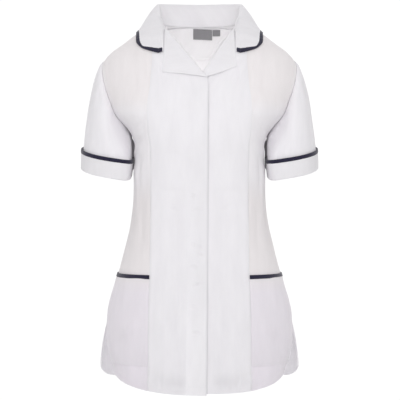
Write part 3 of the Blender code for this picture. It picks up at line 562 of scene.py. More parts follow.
def form(turn, z, front=True):
    """Point on the body form. Turn is in degrees from the side: 90 front, -90 back."""
    turn = np.radians(np.asarray(turn, float))
    z = np.asarray(z, float) + 0.0 * turn
    half, depth, square = section(z, front)
    c = np.cos(turn)
    s = np.sin(turn)
    reach = ((np.abs(c) / half) ** square + (np.abs(s) / depth) ** square) ** (-1.0 / square)
    x = reach * c
    y = -reach * s
    if front:
        y = y - bust(x, z) * np.clip(s * 2.0, 0.0, 1.0)
    return np.stack([x, y, z], -1)


def form_normal(turn, z, front):
    """Outward normal of the body form."""
    turn = np.asarray(turn, float)
    z = np.asarray(z, float)
    du = form(turn + 0.4, z, front) - form(turn - 0.4, z, front)
    dz = form(turn, z + 0.0008, front) - form(turn, z - 0.0008, front)
    n = np.cross(dz, du)
    p = form(turn, z, front)
    flip = np.sign(n[..., 0] * p[..., 0] + n[..., 1] * p[..., 1])
    return unit(n * flip[..., None])


def on_form(turn, z, front=True, lift=0.0):
    """Points moved out from the form along its normals, and those normals."""
    n = form_normal(turn, z, front)
    return form(turn, z, front) + n * np.asarray(lift)[..., None], n


def turn_at(x, z, front=True):
    """Turn of the point of the form that is at x in the front view."""
    x = np.asarray(x, float)
    half, depth, square = section(z, front)
    share = np.clip(np.abs(x) / half, 0.0, 0.99999)
    y = depth * (1.0 - share**square) ** (1.0 / square)
    turn = np.degrees(np.arctan2(y, x))
    return turn if front else -turn


def spaced(turn, z, front, count):
    """Even spacing along a curve on the form."""
    run = run_of(form(turn, z, front))
    want = np.linspace(0.0, run[-1], count + 1)
    return np.interp(want, run, turn), np.interp(want, run, z)


def chained(stretches, front):
    """Several stretches one after another, each given as turn, z and a count."""
    turns = []
    levels = []
    for turn, z, count in stretches:
        t, v = spaced(turn, z, front, count)
        start = 1 if turns else 0
        turns.extend(t[start:])
        levels.extend(v[start:])
    return np.array(turns), np.array(levels)


def inside(p):
    """Level of the form's field: below 1 inside the body, above 1 outside."""
    x, y, z = p[..., 0], p[..., 1], p[..., 2]
    row = BODY_TABLE(z)
    front = y < 0.0
    depth = np.where(front, row[..., 2], row[..., 3])
    half = row[..., 0]
    square = np.where(front, row[..., 4], row[..., 5])
    y = np.where(front, np.minimum(y + bust(x, z), 0.0), y)
    return ((np.abs(x) / half) ** square + (np.abs(y) / depth) ** square) ** (1.0 / square)


def push_out(points, clear):
    """Keep points at least a given distance outside the body form."""
    p = points.copy()
    step = 0.0004
    soft_run = 0.0012
    reach = 0.004
    for _ in range(6):
        grad = np.zeros_like(p)
        for k in range(3):
            d = np.zeros(3)
            d[k] = step
            grad[..., k] = (inside(p + d) - inside(p - d)) / (2 * step)
        size = np.maximum(np.linalg.norm(grad, axis=-1), 1e-9)
        short = clear - (inside(p) - 1.0) / size
        soft = soft_run * np.log1p(np.exp(np.clip(short / soft_run, -30, 30)))
        move = np.where(short > -reach, soft * 0.7, 0.0)
        move = np.where(short < 0.0, np.minimum(move, 0.0), move)
        p = p + (grad / size[..., None]) * move[..., None]
    return p


# Edges of the panels


def levels_between(low, high):
    return np.linspace(low, high, 160)


def side_levels(foot):
    return (foot, POCKET_FOOT, VENT_Z, POCKET_TOP - BIND_WIDTH, POCKET_TOP, PIT_Z)


def climb(marks, turn_of):
    """Stretches up an edge from one level mark to the next."""
    out = []
    for low, high, count in zip(marks[:-1], marks[1:], SIDE_ROWS):
        z = levels_between(low, high)
        out.append((turn_of(z), z, count))
    return out


def arm_curve(angle, front):
    """Turn and z of the armhole: angle 0 at the shoulder, 180 at the underarm."""
    a = np.radians(np.asarray(angle, float))
    widest = ARM_FRONT if front else -ARM_BACK
    turn = widest * np.abs(np.sin(a)) * (1.0 - ARM_LEAN * np.cos(a))
    return turn, ARM_MIDDLE + 0.5 * (TIP_Z - PIT_Z) * np.cos(a)


def side_edge(front):
    """Side seam or vent edge from the hem, then the armhole to the shoulder tip."""
    foot = VENT_EDGE[-1][0] if front else BACK_HEM[0][1]
    stretches = climb(side_levels(foot), VENT_TABLE if front else np.zeros_like)
    turn, z = arm_curve(np.linspace(180.0, 0.0, 90), front)
    return chained(stretches + [(turn, z, ARM_ROWS)], front)


def princess_turn(z):
    return turn_at(PRINCESS_TABLE(z), z)


def princess_edge():
    marks = side_levels(float(HEM_TABLE(PRINCESS[-1][1])))[:-1] + (PRINCESS_MARK,)
    top = PRINCESS[0][0]
    z = levels_between(PRINCESS_MARK, top)
    turn = princess_turn(z)
    bend = np.linspace(0.0, 1.0, 30)[1:] * math.pi / 2
    top_z = top + (SPLIT_Z - top) * np.sin(bend)
    top_turn = turn[-1] * np.cos(bend)
    last = (np.append(turn, top_turn), np.append(z, top_z), ARM_ROWS)
    return chained(climb(marks, princess_turn) + [last], True)


def neck_level(share):
    """Level of the front's neck seam, from the high point of the shoulder to its corner."""
    high = NECK[2][1]
    return high + (NECK_CORNER[1] - high) * share**NECK_POWER


def edge_turn(z):
    return turn_at(-EDGE_TABLE(z), z)


def front_edge(side):
    """Front edge from the hem, then the roll line and the neck seam."""
    stretches = climb(side_levels(hem_level(-LAP, side))[:-1] + (EDGE_MARK,), edge_turn)
    z = levels_between(EDGE_MARK, ROLL_START)
    stretches.append((edge_turn(z), z, UPPER_ROWS[0]))
    marks = ((-EDGE_TABLE(ROLL_START), ROLL_START), ROLL_END[side], NECK_CORNER)
    for low, high, count in zip(marks[:-1], marks[1:], UPPER_ROWS[1:]):
        z = levels_between(low[1], high[1])
        x = np.linspace(low[0], high[0], len(z))
        stretches.append((turn_at(x, z), z, count))
    start = float(turn_at(*NECK_CORNER))
    turn = np.linspace(start, 0.0, 40)
    stretches.append((turn, neck_level(turn / start), UPPER_ROWS[3]))
    return chained(stretches, True)


def hem_level(x, side):
    """Hem of the fronts. The right front's corner hangs a little lower."""
    fade = np.clip(1.0 - (np.asarray(x, float) + LAP) / HEM_FADE, 0.0, 1.0)
    return HEM_TABLE(x) + HEM_DROP[side] * fade


def front_hem(start, end, count, side):
    x = np.linspace(start, end, 80)
    z = hem_level(x, side)
    return spaced(turn_at(x, z), z, True, count)


def shoulder(start, end, count):
    """Shoulder seam along the ridge of the form."""
    z = levels_between(start, end)
    return spaced(0.0 * z, z, True, count)


# Panels


def shares(points):
    run = run_of(points)
    return run / run[-1]


def fill(inner, outer, low, high, front):
    """Blend four edges into a grid of turns and levels: columns by rows.

    The hem's shape fades out upwards, and the shoulder's shape starts above the bust.
    """
    s = 0.5 * (shares(form(*low, front)) + shares(form(*high, front)))[:, None]
    t = 0.5 * (shares(form(*inner, front)) + shares(form(*outer, front)))[None, :]
    start = t[0, SIDE_SPLIT]
    upper = np.clip((t - start) / (1.0 - start), 0.0, 1.0) ** SHOULDER_POWER
    lower = (1.0 - t) ** HEM_POWER
    out = []
    for k in (0, 1):
        a = inner[k][None, :]
        b = outer[k][None, :]
        c = low[k][:, None] - (1 - s) * a[:, :1] - s * b[:, :1]
        d = high[k][:, None] - (1 - s) * a[:, -1:] - s * b[:, -1:]
        out.append((1 - s) * a + s * b + lower * c + upper * d)
    return out[0], out[1]


def lap_lift(x, z, side):
    """The right front lies over the left one along the front edge."""
    if side != "right":
        return 0.0 * x
    return LAP_LIFT * ramp(x, *LAP_ACROSS) * ramp(z, *LAP_UP)


def centre_front(side):
    edge = front_edge(side)
    seam = princess_edge()
    low = front_hem(-FRONT_EDGE[-1][1], PRINCESS[-1][1], FRONT_COLUMNS, side)
    for k in (0, 1):
        low[k][0] = edge[k][0]
        low[k][-1] = seam[k][0]
    high = shoulder(NECK[2][1], SPLIT_Z, FRONT_COLUMNS)
    turn, z = fill(edge, seam, low, high, True)
    return on_form(turn, z, True, lap_lift(form(turn, z)[..., 0], z, side))


def side_front():
    seam = princess_edge()
    side = side_edge(True)
    low = front_hem(PRINCESS[-1][1], FRONT_HEM[-1][0], SIDE_COLUMNS, "left")
    for k in (0, 1):
        low[k][0] = seam[k][0]
        low[k][-1] = side[k][0]
    return fill(seam, side, low, shoulder(SPLIT_Z, TIP_Z, SIDE_COLUMNS), True)


def back_panel():
    right = side_edge(False)
    left = (-180.0 - right[0], right[1])
    tip = shoulder(TIP_Z, NECK[2][1], SHOULDER_COLUMNS)
    neck_turn = np.linspace(0.0, -180.0, 120)
    fold = np.minimum(-neck_turn, 180.0 + neck_turn)
    neck = spaced(neck_turn, NECK_TABLE(-fold), False, NECK_COLUMNS)
    high_turn = np.concatenate([tip[0], neck[0][1:], -180.0 - tip[0][::-1][1:]])
    high_z = np.concatenate([tip[1], neck[1][1:], tip[1][::-1][1:]])
    turn = np.linspace(0.0, -180.0, 200)
    fold = np.minimum(-turn, 180.0 + turn)
    low = spaced(turn, BACK_HEM_TABLE(fold), False, len(high_turn) - 1)
    return fill(right, left, low, (high_turn, high_z), False)


def sleeve_lines(angles):
    """Start, handles and end of each line down the sleeve."""
    front = (angles <= 180.0)[:, None]
    start = np.where(front, form(*arm_curve(angles, True), True), form(*arm_curve(angles, False), False))
    start = start + np.array([SLEEVE_ROOT_GAP, 0.0, 0.0])
    a = np.radians(angles)[:, None]
    c = np.cos(a)
    s = np.sin(a)
    inner = np.where((c < 0.0) & (s > 0.0), 4.0 * (c * s) ** 2, 0.0)
    power = SLEEVE_SQUARE + SLEEVE_FULLER * inner
    size = (np.abs(c) ** power + np.abs(s) ** power) ** (-1.0 / power)
    end = SLEEVE_CENTRE + size * c * SLEEVE_SIDE + size * s * SLEEVE_FRONT
    run = SLEEVE_TABLE(angles)
    way = unit(run[:, :3])
    middle = end + SLEEVE_DRAFT * run[:, 4:5]
    middle[:, 0] -= SLEEVE_INWARD[0] * inner[:, 0]
    end[:, 0] -= SLEEVE_INWARD[1] * inner[:, 0]
    return start, start + way * run[:, 3:4], middle, end


def sleeve_points(angles, share):
    """Points down the sleeve's lines: one share for each line, or a row of them."""
    lines = sleeve_lines(angles)
    if share.ndim == 2:
        lines = [part[:, None] for part in lines]
    return bezier(*lines, share[..., None])


# Sheets of cloth


def grid_normals(p, ring=False):
    """Normals of a sheet in columns and rows."""
    if ring:
        across = np.roll(p, -1, 0) - np.roll(p, 1, 0)
    else:
        across = np.gradient(p, axis=0)
    n = np.cross(across, np.gradient(p, axis=1))
    return n / np.maximum(np.linalg.norm(n, axis=-1, keepdims=True), 1e-12)


def squared_gaps(points, others):
    return np.sum(points**2, 1)[:, None] - 2.0 * points @ others.T + np.sum(others**2, 1)[None, :]


def to_line(points, line):
    """Distance of each point from a line, and how far along the line its nearest place is."""
    flat = points.reshape(-1, 3)
    run = run_of(line)
    near = np.argmin(squared_gaps(flat, line), axis=1)
    best = np.full(len(flat), 1e9)
    at = np.zeros(len(flat))
    for shift in (-1, 0):
        k = np.clip(near + shift, 0, len(line) - 2)
        step = line[k + 1] - line[k]
        size = np.maximum(np.sum(step * step, 1), 1e-18)
        t = np.clip(np.sum((flat - line[k]) * step, 1) / size, 0.0, 1.0)
        gap = np.linalg.norm(flat - line[k] - step * t[:, None], axis=1)
        closer = gap < best
        best = np.where(closer, gap, best)
        at = np.where(closer, run[k] + t * (run[k + 1] - run[k]), at)
    return best.reshape(points.shape[:2]), at.reshape(points.shape[:2])


def uneven(at, wave):
    """A wave whose length and height vary along it, between about -1 and 1."""
    a = 2.0 * math.pi * at / wave
    return np.sin(a + 1.6 * np.sin(a / 5.3 + 0.7)) * (0.62 + 0.38 * np.sin(a / 3.1 + 0.8))


class Cloth:
    """A sheet of points with its normals, to which seams and creases are added."""

    def __init__(self, points, normals=None, ring=False, thick=CLOTH):
        self.base = points
        self.ring = ring
        self.normals = grid_normals(points, ring) if normals is None else normals
        self.lift = np.zeros(points.shape[:2])
        self.thick = np.full(points.shape[:2], thick)
        # Painted shade where positive and painted light where negative, carried into the cloth's colour
        self.tone = np.zeros(points.shape[:2])
        self.far = {}
        self.at = {}
        self.line = {}
        down = np.linalg.norm(np.diff(points, axis=1), axis=2)
        self.along = np.pad(np.cumsum(down, 1), ((0, 0), (1, 0)))
        side = np.linalg.norm(np.diff(points, axis=0), axis=2)
        self.across = np.pad(np.cumsum(side, 0), ((1, 0), (0, 0)))

    def mark(self, name, columns, rows):
        """Name an edge or a line on the sheet."""
        self.line[name] = (columns, rows)
        self.measure(name, self.base[columns, rows].reshape(-1, 3))

    def measure(self, name, line):
        self.far[name], self.at[name] = to_line(self.base, line)

    def up_to(self, name, width, soft):
        """1 from an edge up to a line beside it, and 0 beyond."""
        return 0.5 - 0.5 * np.tanh((self.far[name] - width) / soft)

    def shade(self, name, offset, width, amount, part=1.0):
        """Painted shade: the cloth's colour darkened along a line, where shade falls by a seam or an edge."""
        self.tone += part * amount * bell(self.far[name], offset, width)

    def paint_lighter(self, name, width, amount, part=1.0, soft=0.0008):
        """Painted light: the cloth's colour lightened from an edge up to a line beside it."""
        self.tone -= part * amount * self.up_to(name, width, soft)

    def tuck(self, name, depth, width, part=1.0):
        """Round the cloth down into a seam, or over its own edge."""
        near = np.clip(1.0 - self.far[name] / width, 0.0, 1.0)
        self.lift -= depth * near * near * part

    def press(self, name, offset, width, depth, wave, height, part=1.0):
        """A sewn channel beside an edge, with the small puckers that its thread draws."""
        self.lift -= depth * bell(self.far[name], offset, width) * part
        soft = bell(self.far[name], offset, 2.2 * width)
        self.lift += height * soft * part * uneven(self.at[name], wave)

    def pad(self, name, width, rise, soft=0.0008):
        """A folded double layer from an edge up to a line."""
        layer = rise * self.up_to(name, width, soft)
        self.lift += layer
        self.thick += layer

    def work(self, **steps):
        """Rows of values for each kind of step, such as tuck and press."""
        for step, rows in steps.items():
            for row in rows:
                getattr(self, step)(*row)

    def crease(self, axis, left, right, height, crisp=False):
        """A soft ridge or trough along a line of points, with a width on each side."""
        chord = axis[-1] - axis[0]
        share = (axis - axis[0]) @ chord / (chord @ chord)
        at = (self.base - axis[0]) @ chord / (chord @ chord)
        middle = read_line(at, share, axis)
        centre = axis[len(axis) // 2]
        nearest = np.argmin(np.linalg.norm(self.base - centre, axis=-1))
        normal = self.normals.reshape(-1, 3)[nearest]
        away = (self.base - middle) @ unit(np.cross(normal, chord))
        fade = np.sin(math.pi * np.clip(at, 0.0, 1.0)) ** 1.3
        across = np.abs(away) / np.where(away > 0.0, left, right)
        near = np.clip(1.0 - across**1.6, 0.0, 1.0) if crisp else np.exp(-(across**2))
        same_side = np.abs((self.base - middle) @ normal) < 0.06
        self.lift += height * fade * near * same_side

    def sway(self, kind, mirrored=False):
        """Very soft unevenness over the whole sheet."""
        height, length, *phases = SWAYS[kind]
        phase = phases[mirrored]
        a = 2.0 * math.pi / length
        u = self.across
        v = self.along
        self.lift += height * (
            0.5 * np.sin(a * (u + 0.35 * v) + phase)
            + 0.3 * np.sin(a * (0.61 * v - 0.44 * u) * 1.9 + 2.1 * phase)
            + 0.2 * np.sin(a * (1.37 * u + 0.83 * v) * 1.6 + 3.7 * phase)
        )

    def settle(self):
        """Final points and normals."""
        self.points = self.base + self.normals * self.lift[..., None]
        self.face = grid_normals(self.points, self.ring)

    def seat(self, places):
        """Places dropped on to the settled cloth, and the normals there."""
        flat = self.points.reshape(-1, 3)
        face = self.face.reshape(-1, 3)
        gap = squared_gaps(places, flat)
        near = np.argpartition(gap, 4, axis=1)[:, :4]
        weight = 1.0 / (np.maximum(np.take_along_axis(gap, near, 1), 0.0) + 1e-8)
        weight = weight / weight.sum(1, keepdims=True)
        n = unit(np.sum(face[near] * weight[..., None], 1))
        off = np.sum((places[:, None, :] - flat[near]) * face[near], -1)
        drop = np.sum(off * weight, 1)
        return places - n * drop[:, None], n

    def sew(self, name, offset, start=0.0, stop=1.0, inward=1.0):
        """Stitches along a marked line, moved into the sheet by an offset."""
        columns, rows = self.line[name]
        line = self.base[columns, rows].reshape(-1, 3)
        normals = self.normals[columns, rows].reshape(-1, 3)
        run = run_of(line)
        count = max(2, int((stop - start) * run[-1] / STITCH_PITCH))
        want = np.linspace(start * run[-1], stop * run[-1], count)
        place = read_line(want, run, line)
        way = unit(np.gradient(place, axis=0))
        side = unit(np.cross(read_line(want, run, normals), way) * inward)
        place, n = self.seat(place + side * offset)
        return place, np.gradient(place, axis=0), n


def stitches(rows, length=0.0021, half=0.00021, high=0.00016):
    """Corners and faces of small separate stitches lying in the cloth."""
    blocks = []
    around = ((half, 0.0), (0.0, high), (-half, 0.0), (0.0, -high))
    for place, way, n in rows:
        way = unit(way)
        side = unit(np.cross(n, way))
        block = []
        for mark, wide, rise in ((-0.5, 0, -0.6), (-0.3, 1, 0.3), (0.3, 1, 0.3), (0.5, 0, -0.6)):
            middle = place + way * (mark * length) + n * (rise * high)
            block += [middle + side * a + n * b for a, b in around] if wide else [middle]
        blocks.append(np.stack(block, 1))
    points = np.concatenate(blocks).reshape(-1, 3)
    one = []
    for k in range(4):
        m = (k + 1) % 4
        one += [(0, 1 + k, 1 + m), (1 + k, 5 + k, 5 + m), (1 + k, 5 + m, 1 + m), (9, 5 + m, 5 + k)]
    each = len(blocks[0][0])
    faces = np.arange(len(points) // each)[:, None, None] * each + np.array(one)[None]
    return points, faces.reshape(-1, 3)


# Materials


def set_inputs(node, values):
    for name, value in values.items():
        node.inputs[name].default_value = value


def add_node(nodes, kind, values=None, **settings):
    """New shader node, with values for its inputs and its other settings."""
    node = nodes.new("ShaderNode" + kind)
    for name, value in settings.items():
        setattr(node, name, value)
    set_inputs(node, values or {})
    return node


def node_tree(name, values):
    material = bpy.data.materials.new(name)
    material.use_nodes = True
    nodes = material.node_tree.nodes
    set_inputs(nodes["Principled BSDF"], values)
    return material, nodes, material.node_tree.links, nodes["Principled BSDF"]


def opaque(colour):
    return (*colour, 1.0)


def paint_shade_by_level(nodes, links, colour, shade_tints):
    """Paint light and shade into a colour as tints by the level on the object."""
    where = add_node(nodes, "TexCoord")
    axes = add_node(nodes, "SeparateXYZ")
    links.new(where.outputs["Object"], axes.inputs[0])
    fade = add_node(nodes, "MapRange", {"From Min": TINT_FLOOR, "From Max": 0.0})
    links.new(axes.outputs[2], fade.inputs["Value"])
    scale = add_node(nodes, "ValToRGB")
    stops = scale.color_ramp.elements
    for number, (level, tint) in enumerate(shade_tints):
        at = 1.0 - level / TINT_FLOOR
        stop = stops[number] if number < 2 else stops.new(at)
        stop.position = at
        stop.color = opaque(tint)
    links.new(fade.outputs[0], scale.inputs[0])
    painted_tint = add_node(nodes, "Mix", data_type="RGBA", blend_type="MULTIPLY")
    painted_tint.inputs["Factor"].default_value = 1.0
    links.new(colour, painted_tint.inputs["A"])
    links.new(scale.outputs[0], painted_tint.inputs["B"])
    return painted_tint.outputs["Result"]


def woven(name, slot, dark, light, pitch, twill, bump, rough, sheen, glow=0.0, shade_tints=None):
    """Woven cloth: yarns both ways in metres, a twill line if wanted, uneven colour, and painted shade and
    painted light from the cloth's third value and from tints by level.
    """
    finish = {
        "Roughness": rough,
        "Sheen Weight": sheen,
        "Sheen Roughness": 0.5,
        "Specular IOR Level": 0.25,
        "Subsurface Weight": glow,
        "Subsurface Radius": (1.0, 1.0, 1.0),
        "Subsurface Scale": 0.0015,
    }
    material, nodes, links, shader = node_tree(name, finish)
    place = add_node(nodes, "Attribute", attribute_name="cloth").outputs["Vector"]
    split = add_node(nodes, "SeparateXYZ")
    links.new(place, split.inputs[0])
    across, along, painted_shade = split.outputs

    def calc(kind, *values):
        node = add_node(nodes, "Math", operation=kind)
        for socket, value in zip(node.inputs, values):
            if isinstance(value, (int, float)):
                socket.default_value = value
            else:
                links.new(value, socket)
        return node.outputs[0]

    turn = 2.0 * math.pi / pitch
    warp = calc("SINE", calc("MULTIPLY", across, turn))
    weft = calc("SINE", calc("MULTIPLY", along, turn))
    lines = calc("SINE", calc("MULTIPLY", calc("ADD", across, along), turn * 0.5))
    yarns = calc("MULTIPLY", calc("MULTIPLY", warp, weft), 0.5)
    height = calc("ADD", yarns, calc("MULTIPLY", lines, twill))
    slub = add_node(nodes, "TexNoise", {"Scale": 0.35 / pitch, "Detail": 3.0})
    links.new(place, slub.inputs["Vector"])
    height = calc("ADD", height, calc("MULTIPLY", slub.outputs[0], 0.35))
    relief = add_node(nodes, "Bump", {"Strength": 1.0, "Distance": bump})
    links.new(height, relief.inputs["Height"])
    links.new(relief.outputs[0], shader.inputs["Normal"])
    drawn = add_node(nodes, "VectorMath", operation="MULTIPLY")
    drawn.inputs[1].default_value = (46.0, 11.0, 1.0)
    links.new(place, drawn.inputs[0])
    patches = add_node(nodes, "TexNoise", {"Scale": 1.0, "Detail": 5.0, "Roughness": 0.62})
    links.new(drawn.outputs[0], patches.inputs["Vector"])
    mix = add_node(nodes, "Mix", {"A": opaque(dark), "B": opaque(light)}, data_type="RGBA")
    tone = calc("ADD", calc("MULTIPLY", patches.outputs[0], 1.1), calc("MULTIPLY", height, 0.15))
    links.new(tone, mix.inputs["Factor"])
    # Painted shade and painted light: the colour's value falls by the cloth's third value
    shaded = add_node(nodes, "HueSaturation")
    links.new(mix.outputs["Result"], shaded.inputs["Color"])
    links.new(calc("SUBTRACT", 1.0, painted_shade), shaded.inputs["Value"])
    colour = shaded.outputs[0]
    if shade_tints:
        colour = paint_shade_by_level(nodes, links, colour, shade_tints)
    links.new(colour, shader.inputs["Base Color"])
    return material, slot


def spun(name, slot, colour):
    """Twisted sewing thread."""
    material, nodes, links, shader = node_tree(name, {"Roughness": 0.55})
    noise = add_node(nodes, "TexNoise", {"Scale": 900.0})
    scale = add_node(nodes, "ValToRGB")
    scale.color_ramp.elements[0].color = opaque([0.85 * c for c in colour])
    scale.color_ramp.elements[1].color = opaque(colour)
    links.new(noise.outputs[0], scale.inputs[0])
    links.new(scale.outputs[0], shader.inputs["Base Color"])
    return material, slot


# Colours dark and light, yarn pitch, twill, relief, roughness, sheen, glow
WEAVE = (0.00055, 0.35, 0.00004, 0.82, 0.08, 0.35)
WHITE_CLOTH = woven("white_polycotton", "white_cloth", (0.800, 0.783, 0.812), (0.905, 0.888, 0.918), *WEAVE)
# Side fronts and pockets: the same white cloth, with painted light and shade tinted by level
SHADED_SIDE_CLOTH = woven(
    "side_polycotton_painted_shade", "white_cloth", (0.800, 0.785, 0.806), (0.905, 0.890, 0.912), *WEAVE, SIDE_PAINTED_TINTS
)
NAVY_TAPE = woven(
    "navy_bias_tape", "navy_binding", (0.008, 0.007, 0.022), (0.020, 0.017, 0.048),
    0.00045, 0.10, 0.00006, 0.72, 0.25,
)
LABEL_SATIN = woven(
    "grey_satin", "grey_label", (0.19, 0.185, 0.20), (0.26, 0.255, 0.27),
    0.00030, 0.50, 0.00003, 0.45, 0.10,
)
WHITE_THREAD = spun("white_thread", "white_cloth", (0.88, 0.88, 0.90))
NAVY_THREAD = spun("navy_thread", "navy_binding", (0.030, 0.026, 0.070))


# Objects


def add_object(name, corners, faces, finish, mirrored=False, cloth=None):
    corners = np.asarray(corners, float)
    faces = np.asarray(faces)
    if mirrored:
        corners = corners * (-1.0, 1.0, 1.0)
        faces = faces[:, ::-1]
    mesh = bpy.data.meshes.new(name)
    mesh.from_pydata(corners.tolist(), [], faces.tolist())
    if cloth is not None:
        mesh.attributes.new("cloth", "FLOAT_VECTOR", "POINT")
        mesh.attributes["cloth"].data.foreach_set("vector", cloth.astype(np.float32).ravel())
    mesh.update()
    mesh.shade_smooth()
    mesh.set_sharp_from_angle(angle=math.radians(55))
    mesh.materials.append(finish[0])
    piece = bpy.data.objects.new(name, mesh)
    bpy.context.scene.collection.objects.link(piece)
    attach(piece, "root")
    return piece


def shell(name, sheet, finish, node=None, mirrored=False):
    """A closed thin wall behind a settled sheet."""
    inner = sheet.points - sheet.face * sheet.thick[..., None]
    columns, rows = sheet.points.shape[:2]
    count = columns * rows
    index = np.arange(count).reshape(columns, rows)
    after = np.roll(index, -1, 0) if sheet.ring else index[1:]
    first = index if sheet.ring else index[:-1]
    quads = np.stack([first[:, :-1], after[:, :-1], after[:, 1:], first[:, 1:]], -1).reshape(-1, 4)
    parts = [quads, quads[:, ::-1] + count]
    rims = [(first[:, 0], after[:, 0]), (after[:, -1], first[:, -1])]
    if not sheet.ring:
        rims += [(index[0, 1:], index[0, :-1]), (index[-1, :-1], index[-1, 1:])]
    for a, b in rims:
        parts.append(np.stack([b, a, a + count, b + count], -1))
    corners = np.concatenate([sheet.points.reshape(-1, 3), inner.reshape(-1, 3)])
    # The third value is the painted shade and painted light of the sheet
    flat = np.stack([sheet.across, sheet.along, sheet.tone], -1).reshape(-1, 3)
    cloth = np.concatenate([flat, flat])
    piece = add_object(name, corners, np.concatenate(parts), finish, mirrored, cloth)
    if node:
        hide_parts(node)


def thread(name, rows, finish, mirrored=False):
    points, faces = stitches(rows)
    add_object(name, points, faces, finish, mirrored)


def dress(sheet, name, mirrored=False, finish=WHITE_CLOTH, seams=()):
    """Settle a sheet into the piece that stands for a node, and sew its seams."""
    sheet.settle()
    shell(name + "_cloth", sheet, finish, name, mirrored)
    if seams:
        thread(name + "_thread", [sheet.sew(*seam) for seam in seams], WHITE_THREAD, mirrored)


def both_sides(make):
    for side in ("right", "left"):
        make(side, side == "right")


# Fronts and back


def crease_axis(x0, z0, x1, z1, bow, front):
    """A bowed line on the body form from one place to another."""
    t = np.linspace(0.0, 1.0, 17)
    bend = bow * np.sin(math.pi * t) / math.hypot(x1 - x0, z1 - z0)
    x = x0 + (x1 - x0) * t - bend * (z1 - z0)
    z = z0 + (z1 - z0) * t + bend * (x1 - x0)
    return form(turn_at(x, z, front), z, front)


def fold(sheet, rows, scale=FOLD_SCALE, crisp=False, front=True):
    """Creases from a table. On the back, those at negative x are mirrored."""
    for x0, z0, x1, z1, bow, left, right, height in np.array(rows) * MM:
        flip = -1.0 if x0 < 0.0 and not front else 1.0
        axis = crease_axis(flip * x0, z0, flip * x1, z1, bow, front)
        sheet.crease(axis * (flip, 1.0, 1.0), left, right, scale * height, crisp)


def fold_front(sheet):
    fold(sheet, FRONT_CREASES)
    fold(sheet, FRONT_LEDGES, crisp=True)


def make_centre_front(side, mirrored):
    sheet = Cloth(*centre_front(side))
    sheet.mark("edge", 0, slice(0, EDGE_SPLIT + 1))
    sheet.mark("neck", 0, slice(ROLL_SPLIT, None))
    sheet.mark("princess", -1, ALL)
    sheet.mark("hem", ALL, 0)
    sheet.mark("shoulder", ALL, -1)
    fold_front(sheet)
    sheet.sway("front", mirrored)
    level = sheet.base[..., 2]
    seams = [("hem", HEM_STITCH, 0.01, 0.99)]
    if mirrored:
        fold(sheet, PLACKET_CREASES, FOLD_SCALE * PLACKET_SCALE)
        sheet.pad("edge", PLACKET, 0.0002)
        # Painted light: the placket coloured lighter towards the hem
        sheet.paint_lighter("edge", PLACKET, 0.055, ramp(level, -0.500, -0.640), 0.0014)
        # Painted shadow along the front edge
        sheet.shade("edge", 0.0, 0.0016, 0.10)
        sheet.press("edge", PLACKET, 0.0012, 0.00045, 0.017, 0.00016, ramp(level, -0.360, -0.560))
        seams += [("edge", PLACKET, 0.01, 0.66, -1.0), ("edge", EDGE_STITCH, 0.005, 0.99, -1.0)]
    else:
        line = np.linspace(FRONT_EDGE[-1][0], -0.127, 200)
        sheet.measure("lap", form(turn_at(EDGE_TABLE(line), line), line))
        # Painted shadow on the left front under the right front's edge
        sheet.shade("lap", 0.0002, 0.0014, 0.22, 0.4 + 0.6 * ramp(level, -0.150, -0.175))
        sheet.lift -= 0.0005 * bell(sheet.far["lap"], 0.0, 0.0030)
    below_bust = ramp(level, *BELOW_BUST)
    sheet.work(
        pad=[("hem", *HEM_PAD)],
        press=[("hem", *HEM_PRESS), ("princess", 0.0040, 0.0018, -0.00025, 0.014, 0.00010, below_bust)],
        tuck=[
            ("princess", *PRINCESS_SEAM, below_bust),
            ("shoulder", *SHOULDER_SEAM),
            ("neck", *NECK_SEAM),
            ("hem", *FREE_EDGE),
            ("edge", *FREE_EDGE),
        ],
    )
    # Painted shade on the fronts just above the hem, either side of the placket
    from_middle = np.abs(sheet.base[..., 0])
    hem_shade_part = ramp(from_middle, 0.018, 0.040) * ramp(from_middle, 0.115, 0.045)
    sheet.shade("hem", 0.0225, 0.0140, 0.065, hem_shade_part)
    dress(sheet, side + "_front", mirrored, WHITE_CLOTH, seams)


def make_side_front(side, mirrored):
    sheet = Cloth(*on_form(*side_front()))
    sheet.mark("princess", 0, ALL)
    sheet.mark("vent", -1, slice(0, VENT_SPLIT + 1))
    sheet.mark("side", -1, slice(VENT_SPLIT, SIDE_SPLIT + 1))
    sheet.mark("arm", -1, slice(SIDE_SPLIT, None))
    sheet.mark("hem", ALL, 0)
    sheet.mark("shoulder", ALL, -1)
    fold_front(sheet)
    sheet.sway("side_front", mirrored)
    level = sheet.base[..., 2]
    sheet.work(
        pad=[("hem", *HEM_PAD), ("vent", *VENT_PAD)],
        press=[("hem", HEM, 0.0011, 0.0005, 0.012, 0.00022), ("vent", *VENT_PRESS), ("arm", *ARM_PRESS)],
        tuck=[
            ("princess", *PRINCESS_SEAM, ramp(level, *BELOW_BUST)),
            ("side", *SIDE_SEAM),
            ("arm", *ARM_SEAM),
            ("shoulder", *SHOULDER_SEAM),
            ("hem", *FREE_EDGE),
            ("vent", *FREE_EDGE),
        ],
    )
    # Painted shade: the side fronts coloured darker at the waist, where they turn from the light
    sheet.tone += 0.050 * ramp(level, -0.27, -0.36) * ramp(level, -0.56, -0.42)
    # Painted light: lighter cloth along the armhole, against the shade there
    sheet.paint_lighter("arm", 0.0060, 0.09, ramp(level, -0.240, -0.200), 0.003)
    seams = (
        ("hem", HEM_STITCH, 0.01, 0.97),
        ("vent", VENT_STITCH, 0.12, 1.0),
        ("arm", TOPSTITCH, 0.01, 0.99),
    )
    dress(sheet, side + "_side_front", mirrored, SHADED_SIDE_CLOTH, seams)


